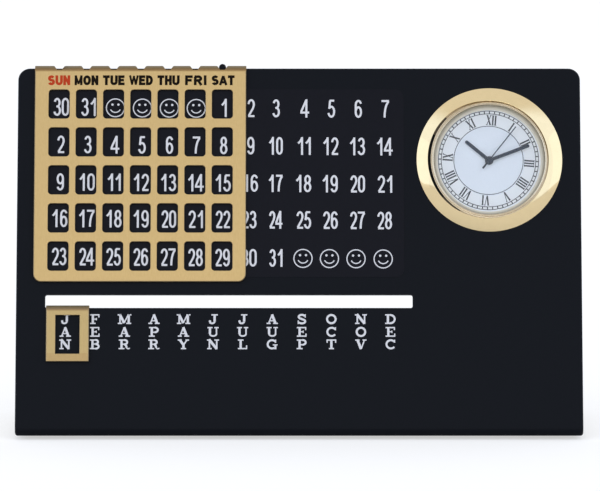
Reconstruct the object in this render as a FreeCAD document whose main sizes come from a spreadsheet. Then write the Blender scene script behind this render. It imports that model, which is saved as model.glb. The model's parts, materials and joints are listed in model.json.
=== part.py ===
"""Desk clock with a perpetual calendar: a leaning sheet panel with a hooked plate that picks the
weekdays, a hooked frame that picks the month, and a fit-up clock insert with its quartz movement.

Every sub-part is an object of one document and takes its sizes from the sheet "Sizes", in mm.
Two frames are used. STAND is the panel's own: X to the right, Y from the front face into the panel,
Z up along the leaning face, from its lowest line. CLOCK stands on the panel's front face at the
clock's centre: X to the right, Y up the face, Z out of the face towards the reader.
"""
import FreeCAD, Part
import math
import os
import re
import Sketcher
from FreeCAD import Placement, Rotation, Vector

DRIVING_SIZES = (
    # the bent sheet that stands on the desk
    ("panel_width", 198.0), ("panel_height", 130.0), ("sheet_thickness", 2.0), ("bend_inside", 0.6),
    ("lean_angle", 15.0), ("foot_depth", 66.0), ("top_corner", 4.2), ("edge_rounding", 0.9),
    ("pad_radius", 5.0), ("pad_height", 1.2), ("pad_from_side", 12.0), ("pad_from_end", 17.0),
    # the slot that guides the month frame
    ("slot_from_side", 10.2), ("slot_from_top", 85.4), ("slot_length", 128.5),
    ("slot_height", 4.7), ("slot_corner", 0.7),
    # the printed label behind the calendar plate
    ("label_from_side", 8.7), ("label_from_top", 7.6), ("label_to_bezel", 4.45),
    ("label_height", 66.9), ("label_corner", 3.0), ("label_thickness", 0.12),
    # hooked sheet pieces: calendar plate and month frame
    ("hook_sheet", 0.8), ("plate_bend", 1.9), ("hook_bend", 1.4), ("hook_drop", 8.0),
    ("front_gap", 0.5),
    ("back_gap", 0.3), ("edge_gap", 0.1),
    ("plate_from_side", 6.0), ("plate_width", 74.4), ("plate_drop", 76.3), ("plate_corner", 2.8),
    ("columns", 7), ("column_pitch", 9.565), ("first_column", 8.62),
    ("rows", 5), ("row_pitch", 13.53), ("first_row", 13.1),
    ("window_width", 7.3), ("window_height", 10.3), ("window_corner", 1.2),
    ("notch_top", 3.9), ("notch_foot", 1.7), ("notch_depth", 0.85),
    ("tooth_width", 2.5), ("tooth_height", 1.5),
    ("frame_width", 15.0), ("frame_drop", 19.0), ("frame_from_end", 0.45),
    ("month_width", 8.43), ("month_height", 13.6), ("month_from_bottom", 2.75),
    # the clock insert in the panel
    ("clock_from_side", 32.15), ("clock_from_top", 32.85), ("dial_turn", 4.5),
    ("hole_radius", 22.4), ("fit_gap", 0.05), ("press_gap", 0.02),
    ("bezel_radius", 25.6), ("bezel_rim", 0.35), ("flange_middle", 23.4), ("flange_height", 1.66),
    ("flange_inner", 21.0), ("flange_top", 2.6), ("well_radius", 20.8), ("well_floor", 1.25),
    ("bead_radius", 20.15), ("bead_height", 1.5), ("lip_top", 0.95), ("lip_radius", 19.6),
    ("skirt_depth", 4.0), ("skirt_wall", 0.65), ("band_lip", 0.5), ("band_depth", 3.4),
    ("band_snap", 0.4),
    ("crystal_front", 0.55), ("crystal_thickness", 0.8), ("crystal_radius", 20.4),
    ("case_radius", 21.0), ("case_inner", 20.0), ("case_step", 1.3), ("case_shoulder", 1.4),
    ("case_ledge", 1.5), ("case_back_wall", 1.2), ("back_room", 0.6), ("case_edge", 0.8),
    ("dial_radius", 19.8), ("dial_thickness", 0.4), ("hand_room", 1.75), ("dial_hole", 1.25),
    ("rehaut_foot", 18.1), ("rehaut_top", 19.5), ("rehaut_outside", 19.95),
    # hands, from the dial outwards
    ("hand_thickness", 0.2), ("hour_lift", 0.35), ("minute_lift", 0.85), ("second_lift", 1.3),
    ("hour_length", 10.85), ("minute_length", 15.1), ("second_length", 15.2), ("second_tail", 3.75),
    ("hand_width", 1.2), ("second_width", 0.36), ("tail_width", 0.65),
    ("hour_hub", 1.5), ("minute_hub", 1.45), ("second_hub", 0.9),
    ("hour_turn", 305.4), ("minute_turn", 64.75), ("second_turn", 33.8),
    # plates of the movement
    ("plate_radius", 19.9), ("plate_wall", 0.8), ("rim_inner", 18.9), ("motion_room", 2.4),
    ("train_room", 4.2), ("bridge_radius", 16.4), ("pillar_radius", 1.2), ("pillar_ring", 14.2),
    ("upper_pillar_direction", 116.0), ("left_pillar_direction", 200.0),
    ("lower_pillar_direction", 323.0), ("post_radius", 0.84), ("post_inset", 1.68),
    ("screw_radius", 0.5), ("screw_head", 0.95), ("screw_head_height", 0.35), ("screw_length", 3.0),
    # arbors and pipes
    ("second_arbor", 0.25), ("minute_pipe", 0.6), ("hour_pipe", 1.05), ("running_gap", 0.05),
    ("wheel_arbor", 0.25), ("wheel_hub", 0.5), ("stud_radius", 0.5), ("setting_stem", 0.6),
    ("pipe_tip", 0.1), ("drill_overrun", 1.0),
    # toothed wheels: module of each meshing pair, tooth shape in modules, face widths and levels
    ("rotor_module", 0.2), ("fifth_module", 0.35), ("third_module", 0.18), ("motion_module", 0.2),
    ("tip_height_ratio", 0.85), ("root_depth_ratio", 1.15), ("half_tip_ratio", 0.3),
    ("half_root_ratio", 0.85), ("wheel_face", 0.4), ("pinion_face", 0.6),
    ("centre_level", 0.45), ("third_level", 1.6), ("fourth_level", 2.7), ("fifth_level", 3.6),
    ("third_direction", 150.0), ("fifth_direction", -60.0), ("rotor_direction", -60.0),
    ("minute_direction", 60.0), ("stem_direction", 90.0),
    # step motor
    ("magnet_radius", 1.6), ("magnet_height", 1.5), ("magnet_level", 0.8), ("stator_gap", 0.4),
    ("stator_left", -10.0), ("stator_right", 8.0), ("stator_bottom", -14.0), ("stator_top", -6.7),
    ("stator_thickness", 0.8), ("stator_level", 1.2),
    ("coil_left", -8.2), ("coil_right", 1.8), ("coil_window_top", -10.2), ("coil_axis", -12.4),
    ("coil_radius", 1.6), ("coil_end_gap", 0.3), ("core_width", 1.3), ("core_thickness", 0.8),
    ("core_overlap", 1.6),
    # electronics and cell
    ("board_left", 7.0), ("board_right", 15.0), ("board_bottom", -5.6), ("board_top", 9.6),
    ("board_thickness", 0.5), ("chip_side", 2.6), ("chip_height", 0.7),
    ("quartz_radius", 0.75), ("quartz_length", 4.4),
    ("cell_across", 10.5), ("cell_up", 6.5), ("cell_radius", 3.4), ("cell_height", 2.6),
    ("cell_gap", 0.15), ("cell_edge", 0.15), ("cap_inset", 0.45), ("cap_height", 0.3),
    ("contact_sheet", 0.15), ("contact_width", 1.6), ("cell_to_cover", 0.2),
    ("cover_radius", 4.8), ("cover_flange", 0.6), ("cover_plug", 4.1), ("coin_slot_width", 1.1),
    ("coin_slot_depth", 0.35), ("coin_slot_length", 6.0),
    ("knob_radius", 2.6), ("knob_height", 1.9), ("knob_grooves", 18), ("knob_groove_radius", 0.22),
)

# worked out from the driving sizes; levels are along Z of the CLOCK frame
DERIVED_SIZES = (
    ("bend_outside", "sheet_thickness + bend_inside"),
    ("lean_cos", "cos(lean_angle * 1 deg)"),
    ("lean_sin", "sin(lean_angle * 1 deg)"),
    ("foot_straight", "foot_depth - bend_outside"),
    ("clock_across", "panel_width / 2 - clock_from_side"),
    ("clock_up", "panel_height - clock_from_top"),
    ("slot_left", "slot_from_side - panel_width / 2"),
    ("slot_bottom", "panel_height - slot_from_top"),
    ("label_left", "label_from_side - panel_width / 2"),
    ("label_width", "clock_across - bezel_radius - label_to_bezel - label_left"),
    ("label_bottom", "panel_height - label_from_top - label_height"),
    ("plate_left", "plate_from_side - panel_width / 2"),
    ("plate_bottom", "panel_height - plate_drop"),
    ("frame_bottom", "slot_bottom - frame_drop"),
    ("first_column_across", "plate_left + first_column"),
    ("tooth_across", "first_column_across + (columns - 1) * column_pitch"),
    ("first_row_up", "panel_height - first_row"),
    ("frame_left", "slot_left + frame_from_end"),
    ("crystal_back", "crystal_front - crystal_thickness"),
    ("dial_front", "crystal_back - hand_room"),
    ("dial_back", "dial_front - dial_thickness"),
    ("plate_front", "dial_back - motion_room"),
    ("plate_back", "plate_front - plate_wall"),
    ("bridge_front", "plate_back - train_room"),
    ("bridge_back", "bridge_front - plate_wall"),
    ("case_floor", "bridge_back - back_room"),
    ("case_back", "case_floor - case_back_wall"),
    ("ledge_radius", "case_inner - case_ledge"),
    ("cell_back", "case_floor + cell_to_cover"),
    ("cell_front", "cell_back + cell_height"),
    ("board_back", "cell_front + contact_sheet"),
    ("stator_back", "plate_back - stator_level - stator_thickness"),
)

# numbers of teeth: the rotor turns the fifth wheel, and so on to the hour wheel
PINIONS = {"rotor_teeth": 6, "fifth_teeth": 6, "fourth_teeth": 8, "third_teeth": 8, "cannon_teeth": 12,
           "minute_teeth": 10}
WHEELS = {"fifth_teeth": 36, "fourth_teeth": 30, "third_teeth": 60, "centre_teeth": 64, "minute_teeth": 36,
          "hour_teeth": 40}
CLOSE = 0.001

doc = FreeCAD.newDocument("desk_clock_with_calendar")
sheet = doc.addObject("Spreadsheet::Sheet", "Sizes")
pieces = []


def fill_sheet():
    """Write the driving sizes as numbers and the derived ones as formulas, each with its alias."""
    rows = [(name, str(value)) for name, value in DRIVING_SIZES]
    rows += [(name, "=" + formula) for name, formula in DERIVED_SIZES]
    for row, (name, content) in enumerate(rows, start=1):
        sheet.set("A%d" % row, name)
        sheet.set("B%d" % row, content)
        sheet.setAlias("B%d" % row, name)
    doc.recompute()


fill_sheet()
SIZE_NAMES = {name for name, _ in DRIVING_SIZES + DERIVED_SIZES}


def bound(expression):
    """The expression with every size name written as a cell of the sheet."""
    return re.sub(r"[a-z_]+", lambda word: "Sizes." + word[0] if word[0] in SIZE_NAMES else word[0],
                  str(expression))


def size(expression):
    """The value of an expression of size names."""
    return float(sheet.evalExpression(bound(expression)))


def bind(thing, prop, expression):
    thing.setExpression(prop, bound(expression))


# ---------------------------------------------------------------- frames

def stand_frame():
    """The panel's frame, leaning back, with the pads on Z = 0 and the footprint centred on Y."""
    lean = Rotation(Vector(1, 0, 0), -size("lean_angle"))
    bend_centre = lean.multVec(Vector(0, size("bend_outside"), size("bend_outside")))
    front = bend_centre.y - size("bend_outside")
    back = -size("foot_depth") / 2 - front
    up = size("pad_height") + size("bend_outside") - bend_centre.z
    return Placement(Vector(0, back, up), lean)


STAND = stand_frame()
FACE_OUT = Placement(Vector(size("clock_across"), 0, size("clock_up")),
                     Rotation(Vector(1, 0, 0), 90))
CLOCK = STAND * FACE_OUT * Placement(Vector(), Rotation(Vector(0, 0, 1), -size("dial_turn")))


def on_clock(across=0, up=0, turn=0):
    """A place on the clock's X and Y, turned clockwise as the reader sees it."""
    return CLOCK * Placement(Vector(across, up, 0), Rotation(Vector(0, 0, 1), -turn))


# ---------------------------------------------------------------- sketching helpers

def new_body(label, placement):
    body = doc.addObject("PartDesign::Body", label)
    body.Label = label
    body.Placement = placement
    pieces.append(body)
    return body


def new_piece(label, kind, placement=None):
    piece = doc.addObject(kind, label)
    piece.Label = label
    pieces.append(piece)
    if placement is not None:
        piece.Placement = placement
    return piece


def new_sketch(body, name, role, offset="0"):
    """A sketch on one of the body's origin planes, moved along that plane's normal."""
    sketch = body.newObject("Sketcher::SketchObject", body.Label + "_" + name)
    plane = next(feature for feature in body.Origin.OriginFeatures if feature.Role == role)
    sketch.AttachmentSupport = [(plane, "")]
    sketch.MapMode = "FlatFace"
    sketch.AttachmentOffset = Placement(Vector(0, 0, size(offset)), Rotation())
    bind(sketch, "AttachmentOffset.Base.z", offset)
    return sketch


def pin(sketch, edge, point, across, up):
    """Hold a point of an edge at two distances from the sketch's origin."""
    for direction, distance in (("DistanceX", across), ("DistanceY", up)):
        rule = Sketcher.Constraint(direction, -1, 1, edge, point, size(distance))
        index = sketch.addConstraint(rule)
        bind(sketch, "Constraints[%d]" % index, distance)


def outline(sketch, corners):
    """A closed outline. Each corner is (x, y), or (x, y, via x, via y) where an arc leaves it."""
    places = [Vector(size(corner[0]), size(corner[1]), 0) for corner in corners]
    ends = []
    for index, corner in enumerate(corners):
        start = places[index]
        finish = places[(index + 1) % len(corners)]
        if len(corner) == 2:
            edge = sketch.addGeometry(Part.LineSegment(start, finish))
            ends.append((edge, 1, 2))
            continue
        via = Vector(size(corner[2]), size(corner[3]), 0)
        edge = sketch.addGeometry(Part.Arc(start, via, finish))
        forward = sketch.getPoint(edge, 1).distanceToPoint(start) < CLOSE
        ends.append((edge, 1, 2) if forward else (edge, 2, 1))
        mark = sketch.addGeometry(Part.Point(via), True)
        pin(sketch, mark, 1, corner[2], corner[3])
        sketch.addConstraint(Sketcher.Constraint("PointOnObject", mark, 1, edge))
    for index, (edge, start, finish) in enumerate(ends):
        following = ends[(index + 1) % len(ends)]
        joined = Sketcher.Constraint("Coincident", edge, finish, following[0], following[1])
        sketch.addConstraint(joined)
        pin(sketch, edge, start, corners[index][0], corners[index][1])


def circle(sketch, radius, across="0", up="0"):
    centre = Vector(size(across), size(up), 0)
    edge = sketch.addGeometry(Part.Circle(centre, Vector(0, 0, 1), size(radius)))
    pin(sketch, edge, 3, across, up)
    index = sketch.addConstraint(Sketcher.Constraint("Radius", edge, size(radius)))
    bind(sketch, "Constraints[%d]" % index, radius)


def rounded_box(sketch, left, bottom, width, height, corner):
    """A rectangle with its four corners rounded."""
    right = "(%s + %s)" % (left, width)
    top = "(%s + %s)" % (bottom, height)
    cut = "(%s * (1 - sqrt(0.5)))" % corner
    outline(sketch, [
        ("%s + %s" % (left, corner), bottom),
        ("%s - %s" % (right, corner), bottom, "%s - %s" % (right, cut), "%s + %s" % (bottom, cut)),
        (right, "%s + %s" % (bottom, corner)),
        (right, "%s - %s" % (top, corner), "%s - %s" % (right, cut), "%s - %s" % (top, cut)),
        ("%s - %s" % (right, corner), top),
        ("%s + %s" % (left, corner), top, "%s + %s" % (left, cut), "%s - %s" % (top, cut)),
        (left, "%s - %s" % (top, corner)),
        (left, "%s + %s" % (bottom, corner), "%s + %s" % (left, cut), "%s + %s" % (bottom, cut)),
    ])


def pad(body, sketch, length, reverse=False, both_ways=False):
    feature = body.newObject("PartDesign::Pad", sketch.Label + "_pad")
    feature.Profile = sketch
    feature.SideType = "Symmetric" if both_ways else "One side"
    feature.Reversed = reverse
    bind(feature, "Length", length)
    return feature


def pocket(body, sketch, length=None, reverse=False):
    """A pocket of that length, or through everything."""
    feature = body.newObject("PartDesign::Pocket", sketch.Label + "_pocket")
    feature.Profile = sketch
    feature.Reversed = reverse
    if length is None:
        feature.Type = "ThroughAll"
    else:
        bind(feature, "Length", length)
    return feature


def revolve(body, sketch):
    feature = body.newObject("PartDesign::Revolution", sketch.Label + "_turned")
    feature.Profile = sketch
    feature.ReferenceAxis = (sketch, ["V_Axis"])
    feature.Angle = 360
    return feature


def rounded(body, radius, chosen, kind="Fillet"):
    """Fillet or chamfer the edges of the body for which chosen(edge) is true."""
    doc.recompute()
    base = body.Tip
    names = ["Edge%d" % number for number, edge in enumerate(base.Shape.Edges, start=1)
             if chosen(edge)]
    feature = body.newObject("PartDesign::" + kind, body.Label + "_" + kind.lower())
    feature.Base = (base, names)
    bind(feature, "Radius" if kind == "Fillet" else "Size", radius)
    return feature


def turned_body(label, corners, placement=None):
    """A body turned about the clock's axis from an outline of (radius, level) corners."""
    body = new_body(label, CLOCK if placement is None else placement)
    sketch = new_sketch(body, "section", "XZ_Plane")
    outline(sketch, corners)
    revolve(body, sketch)
    return body


def close_to(value, target):
    return abs(value - target) < CLOSE


# ---------------------------------------------------------------- the leaning panel

def along_foot(distance, lift):
    """Corner of the foot's section: distance along the foot from the bend, lift above its sole."""
    across = "bend_outside + bend_outside * lean_sin + (%s) * lean_cos - (%s) * lean_sin"
    up = "bend_outside - bend_outside * lean_cos + (%s) * lean_sin + (%s) * lean_cos"
    return across % (distance, lift), up % (distance, lift)


def easel_panel():
    """One sheet: the leaning face and the foot that runs back from its bend."""
    body = new_body("easel_panel", STAND)
    section = new_sketch(body, "section", "YZ_Plane")
    half_bend = "(lean_angle * 0.5 - 45) * 1 deg"
    outer_via = ("bend_outside * (1 - cos(%s))" % half_bend, "bend_outside * (1 + sin(%s))" % half_bend)
    inner_via = ("bend_outside - bend_inside * cos(%s)" % half_bend,
                 "bend_outside + bend_inside * sin(%s)" % half_bend)
    inner_foot = along_foot("0", "sheet_thickness")
    outline(section, [
        ("0", "panel_height"),
        ("0", "bend_outside") + outer_via,
        along_foot("0", "0"),
        along_foot("foot_straight", "0"),
        along_foot("foot_straight", "sheet_thickness"),
        inner_foot + inner_via,
        ("sheet_thickness", "bend_outside"),
        ("sheet_thickness", "panel_height"),
    ])
    pad(body, section, "panel_width", both_ways=True)
    half_width = size("panel_width / 2")
    foot_end = Vector(0, *[size(value) for value in along_foot("foot_straight", "0")])
    thickness = size("sheet_thickness")

    def is_free_corner(edge):
        box = edge.BoundBox
        at_side = close_to(abs(box.XMin), half_width) and box.XLength < CLOSE
        at_top = close_to(box.ZMin, size("panel_height")) and close_to(box.ZMax, box.ZMin)
        at_end = abs(box.Center.y - foot_end.y) < thickness and abs(box.Center.z - foot_end.z) < thickness
        return at_side and close_to(edge.Length, thickness) and (at_top or at_end)

    rounded(body, "top_corner", is_free_corner)

    def is_outer_edge(edge):
        middle = edge.valueAt((edge.FirstParameter + edge.LastParameter) / 2)
        on_sole = Vector(0, -size("lean_sin"), size("lean_cos"))
        lift = (middle - Vector(0, foot_end.y, foot_end.z)).dot(on_sole)
        outside = close_to(middle.y, 0) or close_to(lift, 0)
        reach = Vector(0, middle.y - size("bend_outside"), middle.z - size("bend_outside")).Length
        in_bend = close_to(reach, size("bend_outside")) and middle.z < size("bend_outside")
        along_bend = close_to(edge.Length, size("panel_width"))
        return (outside or in_bend) and not along_bend

    rounded(body, "edge_rounding", is_outer_edge)
    tooth = new_sketch(body, "tooth", "XZ_Plane")
    half = "tooth_width / 2"
    tooth_shoulder = "panel_height + tooth_height - tooth_width / 2"
    outline(tooth, [
        ("tooth_across - " + half, "panel_height - top_corner"),
        ("tooth_across + " + half, "panel_height - top_corner"),
        ("tooth_across + " + half, tooth_shoulder, "tooth_across", "panel_height + tooth_height"),
        ("tooth_across - " + half, tooth_shoulder),
    ])
    pad(body, tooth, "sheet_thickness", reverse=True)
    slot = new_sketch(body, "slot", "XZ_Plane")
    rounded_box(slot, "slot_left", "slot_bottom", "slot_length", "slot_height", "slot_corner")
    pocket(body, slot, "sheet_thickness + bend_outside")
    hole = new_sketch(body, "clock_hole", "XZ_Plane")
    circle(hole, "hole_radius", "clock_across", "clock_up")
    pocket(body, hole, "sheet_thickness + bend_outside")


def foot_pads():
    """Four rubber discs under the corners of the foot."""
    discs = []
    front = -size("foot_depth") / 2
    for side in (-1, 1):
        for from_front in ("pad_from_end", "foot_depth - pad_from_end"):
            disc = doc.addObject("Part::Cylinder", "pad_disc")
            bind(disc, "Radius", "pad_radius")
            bind(disc, "Height", "pad_height")
            across = side * size("panel_width / 2 - pad_from_side")
            disc.Placement = Placement(Vector(across, front + size(from_front), 0), Rotation())
            discs.append(disc)
    group = new_piece("foot_pads", "Part::Compound")
    group.Links = discs


def date_label():
    """Printed film that carries the grid of dates, flat on the panel."""
    body = new_body("date_label", STAND)
    sketch = new_sketch(body, "film", "XZ_Plane")
    rounded_box(sketch, "label_left", "label_bottom", "label_width", "label_height", "label_corner")
    pad(body, sketch, "label_thickness")


# ---------------------------------------------------------------- hooked plate and frame

def hook_section(body, bottom, edge_up, left, width, front_bend):
    """Sheet that hangs in front of the panel and hooks over an edge at height edge_up."""
    section = new_sketch(body, "section", "YZ_Plane", left)
    front = "(-front_gap - hook_sheet)"
    back = "(sheet_thickness + back_gap + hook_sheet)"
    top = "(%s + edge_gap + hook_sheet)" % edge_up
    tail = "(%s - hook_drop)" % top
    inner = "(%s - hook_sheet)" % front_bend
    inner_back = "(hook_bend - hook_sheet)"
    beside_arc = "(%s * (1 - sqrt(0.5)))"
    cut = beside_arc % front_bend
    inner_cut = beside_arc % inner
    back_cut = beside_arc % "hook_bend"
    inner_back_cut = beside_arc % inner_back
    inside_top = "(%s - hook_sheet)" % top
    inside_front = "(-front_gap)"
    inside_back = "(sheet_thickness + back_gap)"
    outline(section, [
        (front, bottom),
        (front, top + " - " + front_bend, front + " + " + cut, top + " - " + cut),
        (front + " + " + front_bend, top),
        (back + " - hook_bend", top, back + " - " + back_cut, top + " - " + back_cut),
        (back, top + " - hook_bend"),
        (back, tail),
        (inside_back, tail),
        (inside_back, inside_top + " - " + inner_back,
         inside_back + " - " + inner_back_cut, inside_top + " - " + inner_back_cut),
        (inside_back + " - " + inner_back, inside_top),
        (inside_front + " + " + inner, inside_top,
         inside_front + " + " + inner_cut, inside_top + " - " + inner_cut),
        (inside_front, inside_top + " - " + inner),
        (inside_front, bottom),
    ])
    pad(body, section, width)


def front_pocket(body, sketch):
    """Cut through the sheet that hangs in front, and leave the hook's tail whole."""
    sketch.AttachmentOffset = Placement(Vector(0, 0, size("front_gap")), Rotation())
    bind(sketch, "AttachmentOffset.Base.z", "front_gap")
    return pocket(body, sketch, "hook_sheet + hook_bend", reverse=True)


def repeat_per_column(body, feature):
    """Repeat a feature above or in every column of the plate."""
    row = body.newObject("PartDesign::LinearPattern", feature.Label + "_row")
    row.Originals = [feature]
    row.Direction = (feature.Profile[0], ["H_Axis"])
    row.Mode = "Spacing"
    bind(row, "Offset", "column_pitch")
    bind(row, "Occurrences", "columns")
    body.Tip = row


def calendar_plate():
    """Brass plate with a grid of windows and a notch above each column."""
    body = new_body("calendar_plate", STAND)
    hook_section(body, "plate_bottom", "panel_height", "plate_left", "plate_width", "plate_bend")

    def is_lower_corner(edge):
        box = edge.BoundBox
        return close_to(box.ZMax, size("plate_bottom")) and box.XLength < CLOSE

    rounded(body, "plate_corner", is_lower_corner)
    windows = new_sketch(body, "windows", "XZ_Plane")
    for row in range(int(size("rows"))):
        rounded_box(windows, "(first_column_across - window_width / 2)",
                    "(first_row_up - window_height / 2 - %d * row_pitch)" % row,
                    "window_width", "window_height", "window_corner")
    repeat_per_column(body, front_pocket(body, windows))
    top = "panel_height + edge_gap + hook_sheet"
    foot = "panel_height - notch_depth"
    notch = new_sketch(body, "notch", "XZ_Plane", "front_gap / 2")
    outline(notch, [
        ("first_column_across - notch_foot / 2", foot),
        ("first_column_across + notch_foot / 2", foot),
        ("first_column_across + notch_top / 2", top),
        ("first_column_across - notch_top / 2", top),
    ])
    repeat_per_column(body, pocket(body, notch, "hook_sheet + front_gap", reverse=True))
    gate = new_sketch(body, "tooth_gate", "XZ_Plane", "front_gap / 2")
    outline(gate, [
        ("first_column_across - notch_top / 2", foot),
        ("first_column_across + notch_top / 2", foot),
        ("first_column_across + notch_top / 2", top),
        ("first_column_across - notch_top / 2", top),
    ])
    through_hook = "sheet_thickness + front_gap + back_gap + hook_sheet"
    repeat_per_column(body, pocket(body, gate, through_hook))


def month_frame():
    """Small brass frame that hooks over the slot's lower edge and slides along it."""
    body = new_body("month_frame", STAND)
    hook_section(body, "frame_bottom", "slot_bottom", "frame_left", "frame_width", "hook_bend")
    window = new_sketch(body, "window", "XZ_Plane")
    left = "(frame_left + (frame_width - month_width) / 2)"
    bottom = "(frame_bottom + month_from_bottom)"
    right = left + " + month_width"
    top = bottom + " + month_height"
    outline(window, [(left, bottom), (right, bottom), (right, top), (left, top)])
    front_pocket(body, window)


# ---------------------------------------------------------------- shells of the clock insert

def bezel():
    """Polished flange on the panel's face, with a lip over the crystal and a skirt in the hole."""
    skirt_inner = "case_radius + fit_gap"
    skirt_outer = "case_radius + fit_gap + skirt_wall"
    turned_body("bezel", [
        (skirt_inner, "-skirt_depth"),
        (skirt_outer, "-skirt_depth"),
        (skirt_outer, "0"),
        ("bezel_radius", "0"),
        ("bezel_radius", "bezel_rim", "flange_middle", "flange_height"),
        ("flange_inner", "flange_top"),
        ("well_radius", "well_floor"),
        ("bead_radius", "bead_height"),
        ("(bead_radius + lip_radius) / 2", "lip_top"),
        ("lip_radius", "lip_top"),
        ("lip_radius", "crystal_front"),
        (skirt_inner, "crystal_front"),
    ])


def friction_band():
    """Soft ring that fills the panel's hole and snaps out behind the panel."""
    inner = "case_radius + fit_gap + skirt_wall + press_gap"
    outer = "hole_radius - fit_gap"
    behind = "-sheet_thickness - fit_gap"
    turned_body("friction_band", [
        (inner, "0"),
        (outer, "0"),
        (outer, behind),
        (outer + " + band_lip", behind + " - band_snap"),
        (outer, "-band_depth"),
        (inner, "-band_depth"),
    ])


def crystal():
    """Flat mineral glass under the bezel's lip."""
    turned_body("crystal", [
        ("0", "crystal_back"),
        ("crystal_radius", "crystal_back"),
        ("crystal_radius", "crystal_front"),
        ("0", "crystal_front"),
    ])


def ring(label, inner, outer, low, high):
    turned_body(label, [(inner, low), (outer, low), (outer, high), (inner, high)])


def crystal_gasket():
    ring("crystal_gasket", "crystal_radius + press_gap", "case_radius", "crystal_back", "crystal_front")


def rehaut():
    """Sloping ring between the crystal and the dial."""
    turned_body("rehaut", [
        ("rehaut_foot", "dial_front"),
        ("rehaut_outside", "dial_front"),
        ("rehaut_outside", "crystal_back"),
        ("rehaut_top", "crystal_back"),
    ])


def dial():
    """Metal dial with a hole for the hands' pipes."""
    ring("dial", "dial_hole", "dial_radius", "dial_back", "dial_front")


def insert_case():
    """Plastic can: a wide front over the movement's plate, a ledge for it, and a narrower back."""
    behind = "case_radius - case_step"
    body = turned_body("insert_case", [
        ("0", "case_back"),
        (behind + " - case_edge", "case_back"),
        (behind, "case_back + case_edge"),
        (behind, "plate_back - case_shoulder"),
        ("case_radius", "plate_back - case_shoulder + case_step"),
        ("case_radius", "crystal_back"),
        ("case_inner", "crystal_back"),
        ("case_inner", "plate_back"),
        ("ledge_radius", "plate_back"),
        ("ledge_radius", "case_floor"),
        ("0", "case_floor"),
    ])
    hatch = new_sketch(body, "hatch", "XY_Plane", "case_floor + back_room")
    circle(hatch, "cover_plug + fit_gap", "cell_across", "cell_up")
    pocket(body, hatch)
    stem = new_sketch(body, "stem_hole", "XY_Plane", "case_floor + back_room")
    across, up = stem_place()
    circle(stem, "setting_stem + running_gap", across, up)
    pocket(body, stem)


# ---------------------------------------------------------------- places in the movement

def stepped(place, direction, distance):
    """Expressions of the point at that direction and distance from a place."""
    across = "%s + (%s) * cos(%s * 1 deg)" % (place[0], distance, direction)
    up = "%s + (%s) * sin(%s * 1 deg)" % (place[1], distance, direction)
    return across, up


CENTRE = ("0", "0")


def spacing(module, first_teeth, second_teeth):
    return "%s * %d / 2" % (module, first_teeth + second_teeth)


def third_place():
    apart = spacing("third_module", WHEELS["third_teeth"], PINIONS["fourth_teeth"])
    return stepped(CENTRE, "third_direction", apart)


def fifth_place():
    apart = spacing("fifth_module", WHEELS["fourth_teeth"], PINIONS["fifth_teeth"])
    return stepped(CENTRE, "fifth_direction", apart)


def rotor_place():
    apart = spacing("rotor_module", WHEELS["fifth_teeth"], PINIONS["rotor_teeth"])
    return stepped(fifth_place(), "rotor_direction", apart)


def minute_place():
    apart = spacing("motion_module", PINIONS["cannon_teeth"], WHEELS["minute_teeth"])
    return stepped(CENTRE, "minute_direction", apart)


def stem_place():
    apart = spacing("motion_module", PINIONS["cannon_teeth"], WHEELS["minute_teeth"])
    return stepped(minute_place(), "stem_direction", apart)


def pillar_places():
    """Three pillars between the movement's plates, clear of the wheels, coil and board."""
    return [stepped(CENTRE, side + "_pillar_direction", "pillar_ring")
            for side in ("upper", "left", "lower")]


# ---------------------------------------------------------------- plates of the movement

def hole_row(body, name, places, radius, low, length):
    """Pockets of one radius at several places."""
    sketch = new_sketch(body, name, "XY_Plane", low)
    for across, up in places:
        circle(sketch, radius, across, up)
    pocket(body, sketch, length, reverse=True)


def stator_post_places():
    """Two posts that carry the stator at its outer corners."""
    return [("stator_left + post_inset", "stator_top - post_inset"),
            ("stator_right - post_inset", "stator_bottom + post_inset")]


def main_plate():
    """Plastic plate on the case's ledge: rim under the dial, stud, pillars and bearings."""
    body = turned_body("main_plate", [
        ("minute_pipe + running_gap", "plate_back"),
        ("plate_radius", "plate_back"),
        ("plate_radius", "dial_back"),
        ("rim_inner", "dial_back"),
        ("rim_inner", "plate_front"),
        ("minute_pipe + running_gap", "plate_front"),
    ])
    pillars = new_sketch(body, "pillars", "XY_Plane", "plate_back")
    for across, up in pillar_places():
        circle(pillars, "pillar_radius", across, up)
    pad(body, pillars, "train_room", reverse=True)
    posts = new_sketch(body, "stator_posts", "XY_Plane", "plate_back")
    for across, up in stator_post_places():
        circle(posts, "post_radius", across, up)
    pad(body, posts, "stator_level", reverse=True)
    stud = new_sketch(body, "minute_stud", "XY_Plane", "plate_front")
    circle(stud, "stud_radius", *minute_place())
    pad(body, stud, "motion_room - 2 * running_gap")
    hole_row(body, "pivot_holes", [third_place(), fifth_place(), rotor_place()],
             "wheel_arbor + running_gap", "plate_back", "plate_wall")
    hole_row(body, "stem_hole", [stem_place()], "setting_stem + running_gap", "plate_back",
             "plate_wall")
    hole_row(body, "screw_holes", pillar_places(), "screw_radius", "bridge_front",
             "screw_length - plate_wall + running_gap")


def train_bridge():
    """Rear plate that closes the wheel train, with an opening that locates the cell."""
    body = new_body("train_bridge", CLOCK)
    disc = new_sketch(body, "disc", "XY_Plane", "bridge_back")
    circle(disc, "bridge_radius")
    circle(disc, "cell_radius + cell_gap", "cell_across", "cell_up")
    pad(body, disc, "plate_wall")
    hole_row(body, "pivot_holes", [CENTRE, third_place(), fifth_place(), rotor_place()],
             "wheel_arbor + running_gap", "bridge_back", "plate_wall")
    hole_row(body, "stem_hole", [stem_place()], "setting_stem + running_gap", "bridge_back",
             "plate_wall")
    hole_row(body, "screw_holes", pillar_places(), "screw_radius + running_gap", "bridge_back",
             "plate_wall")


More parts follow.
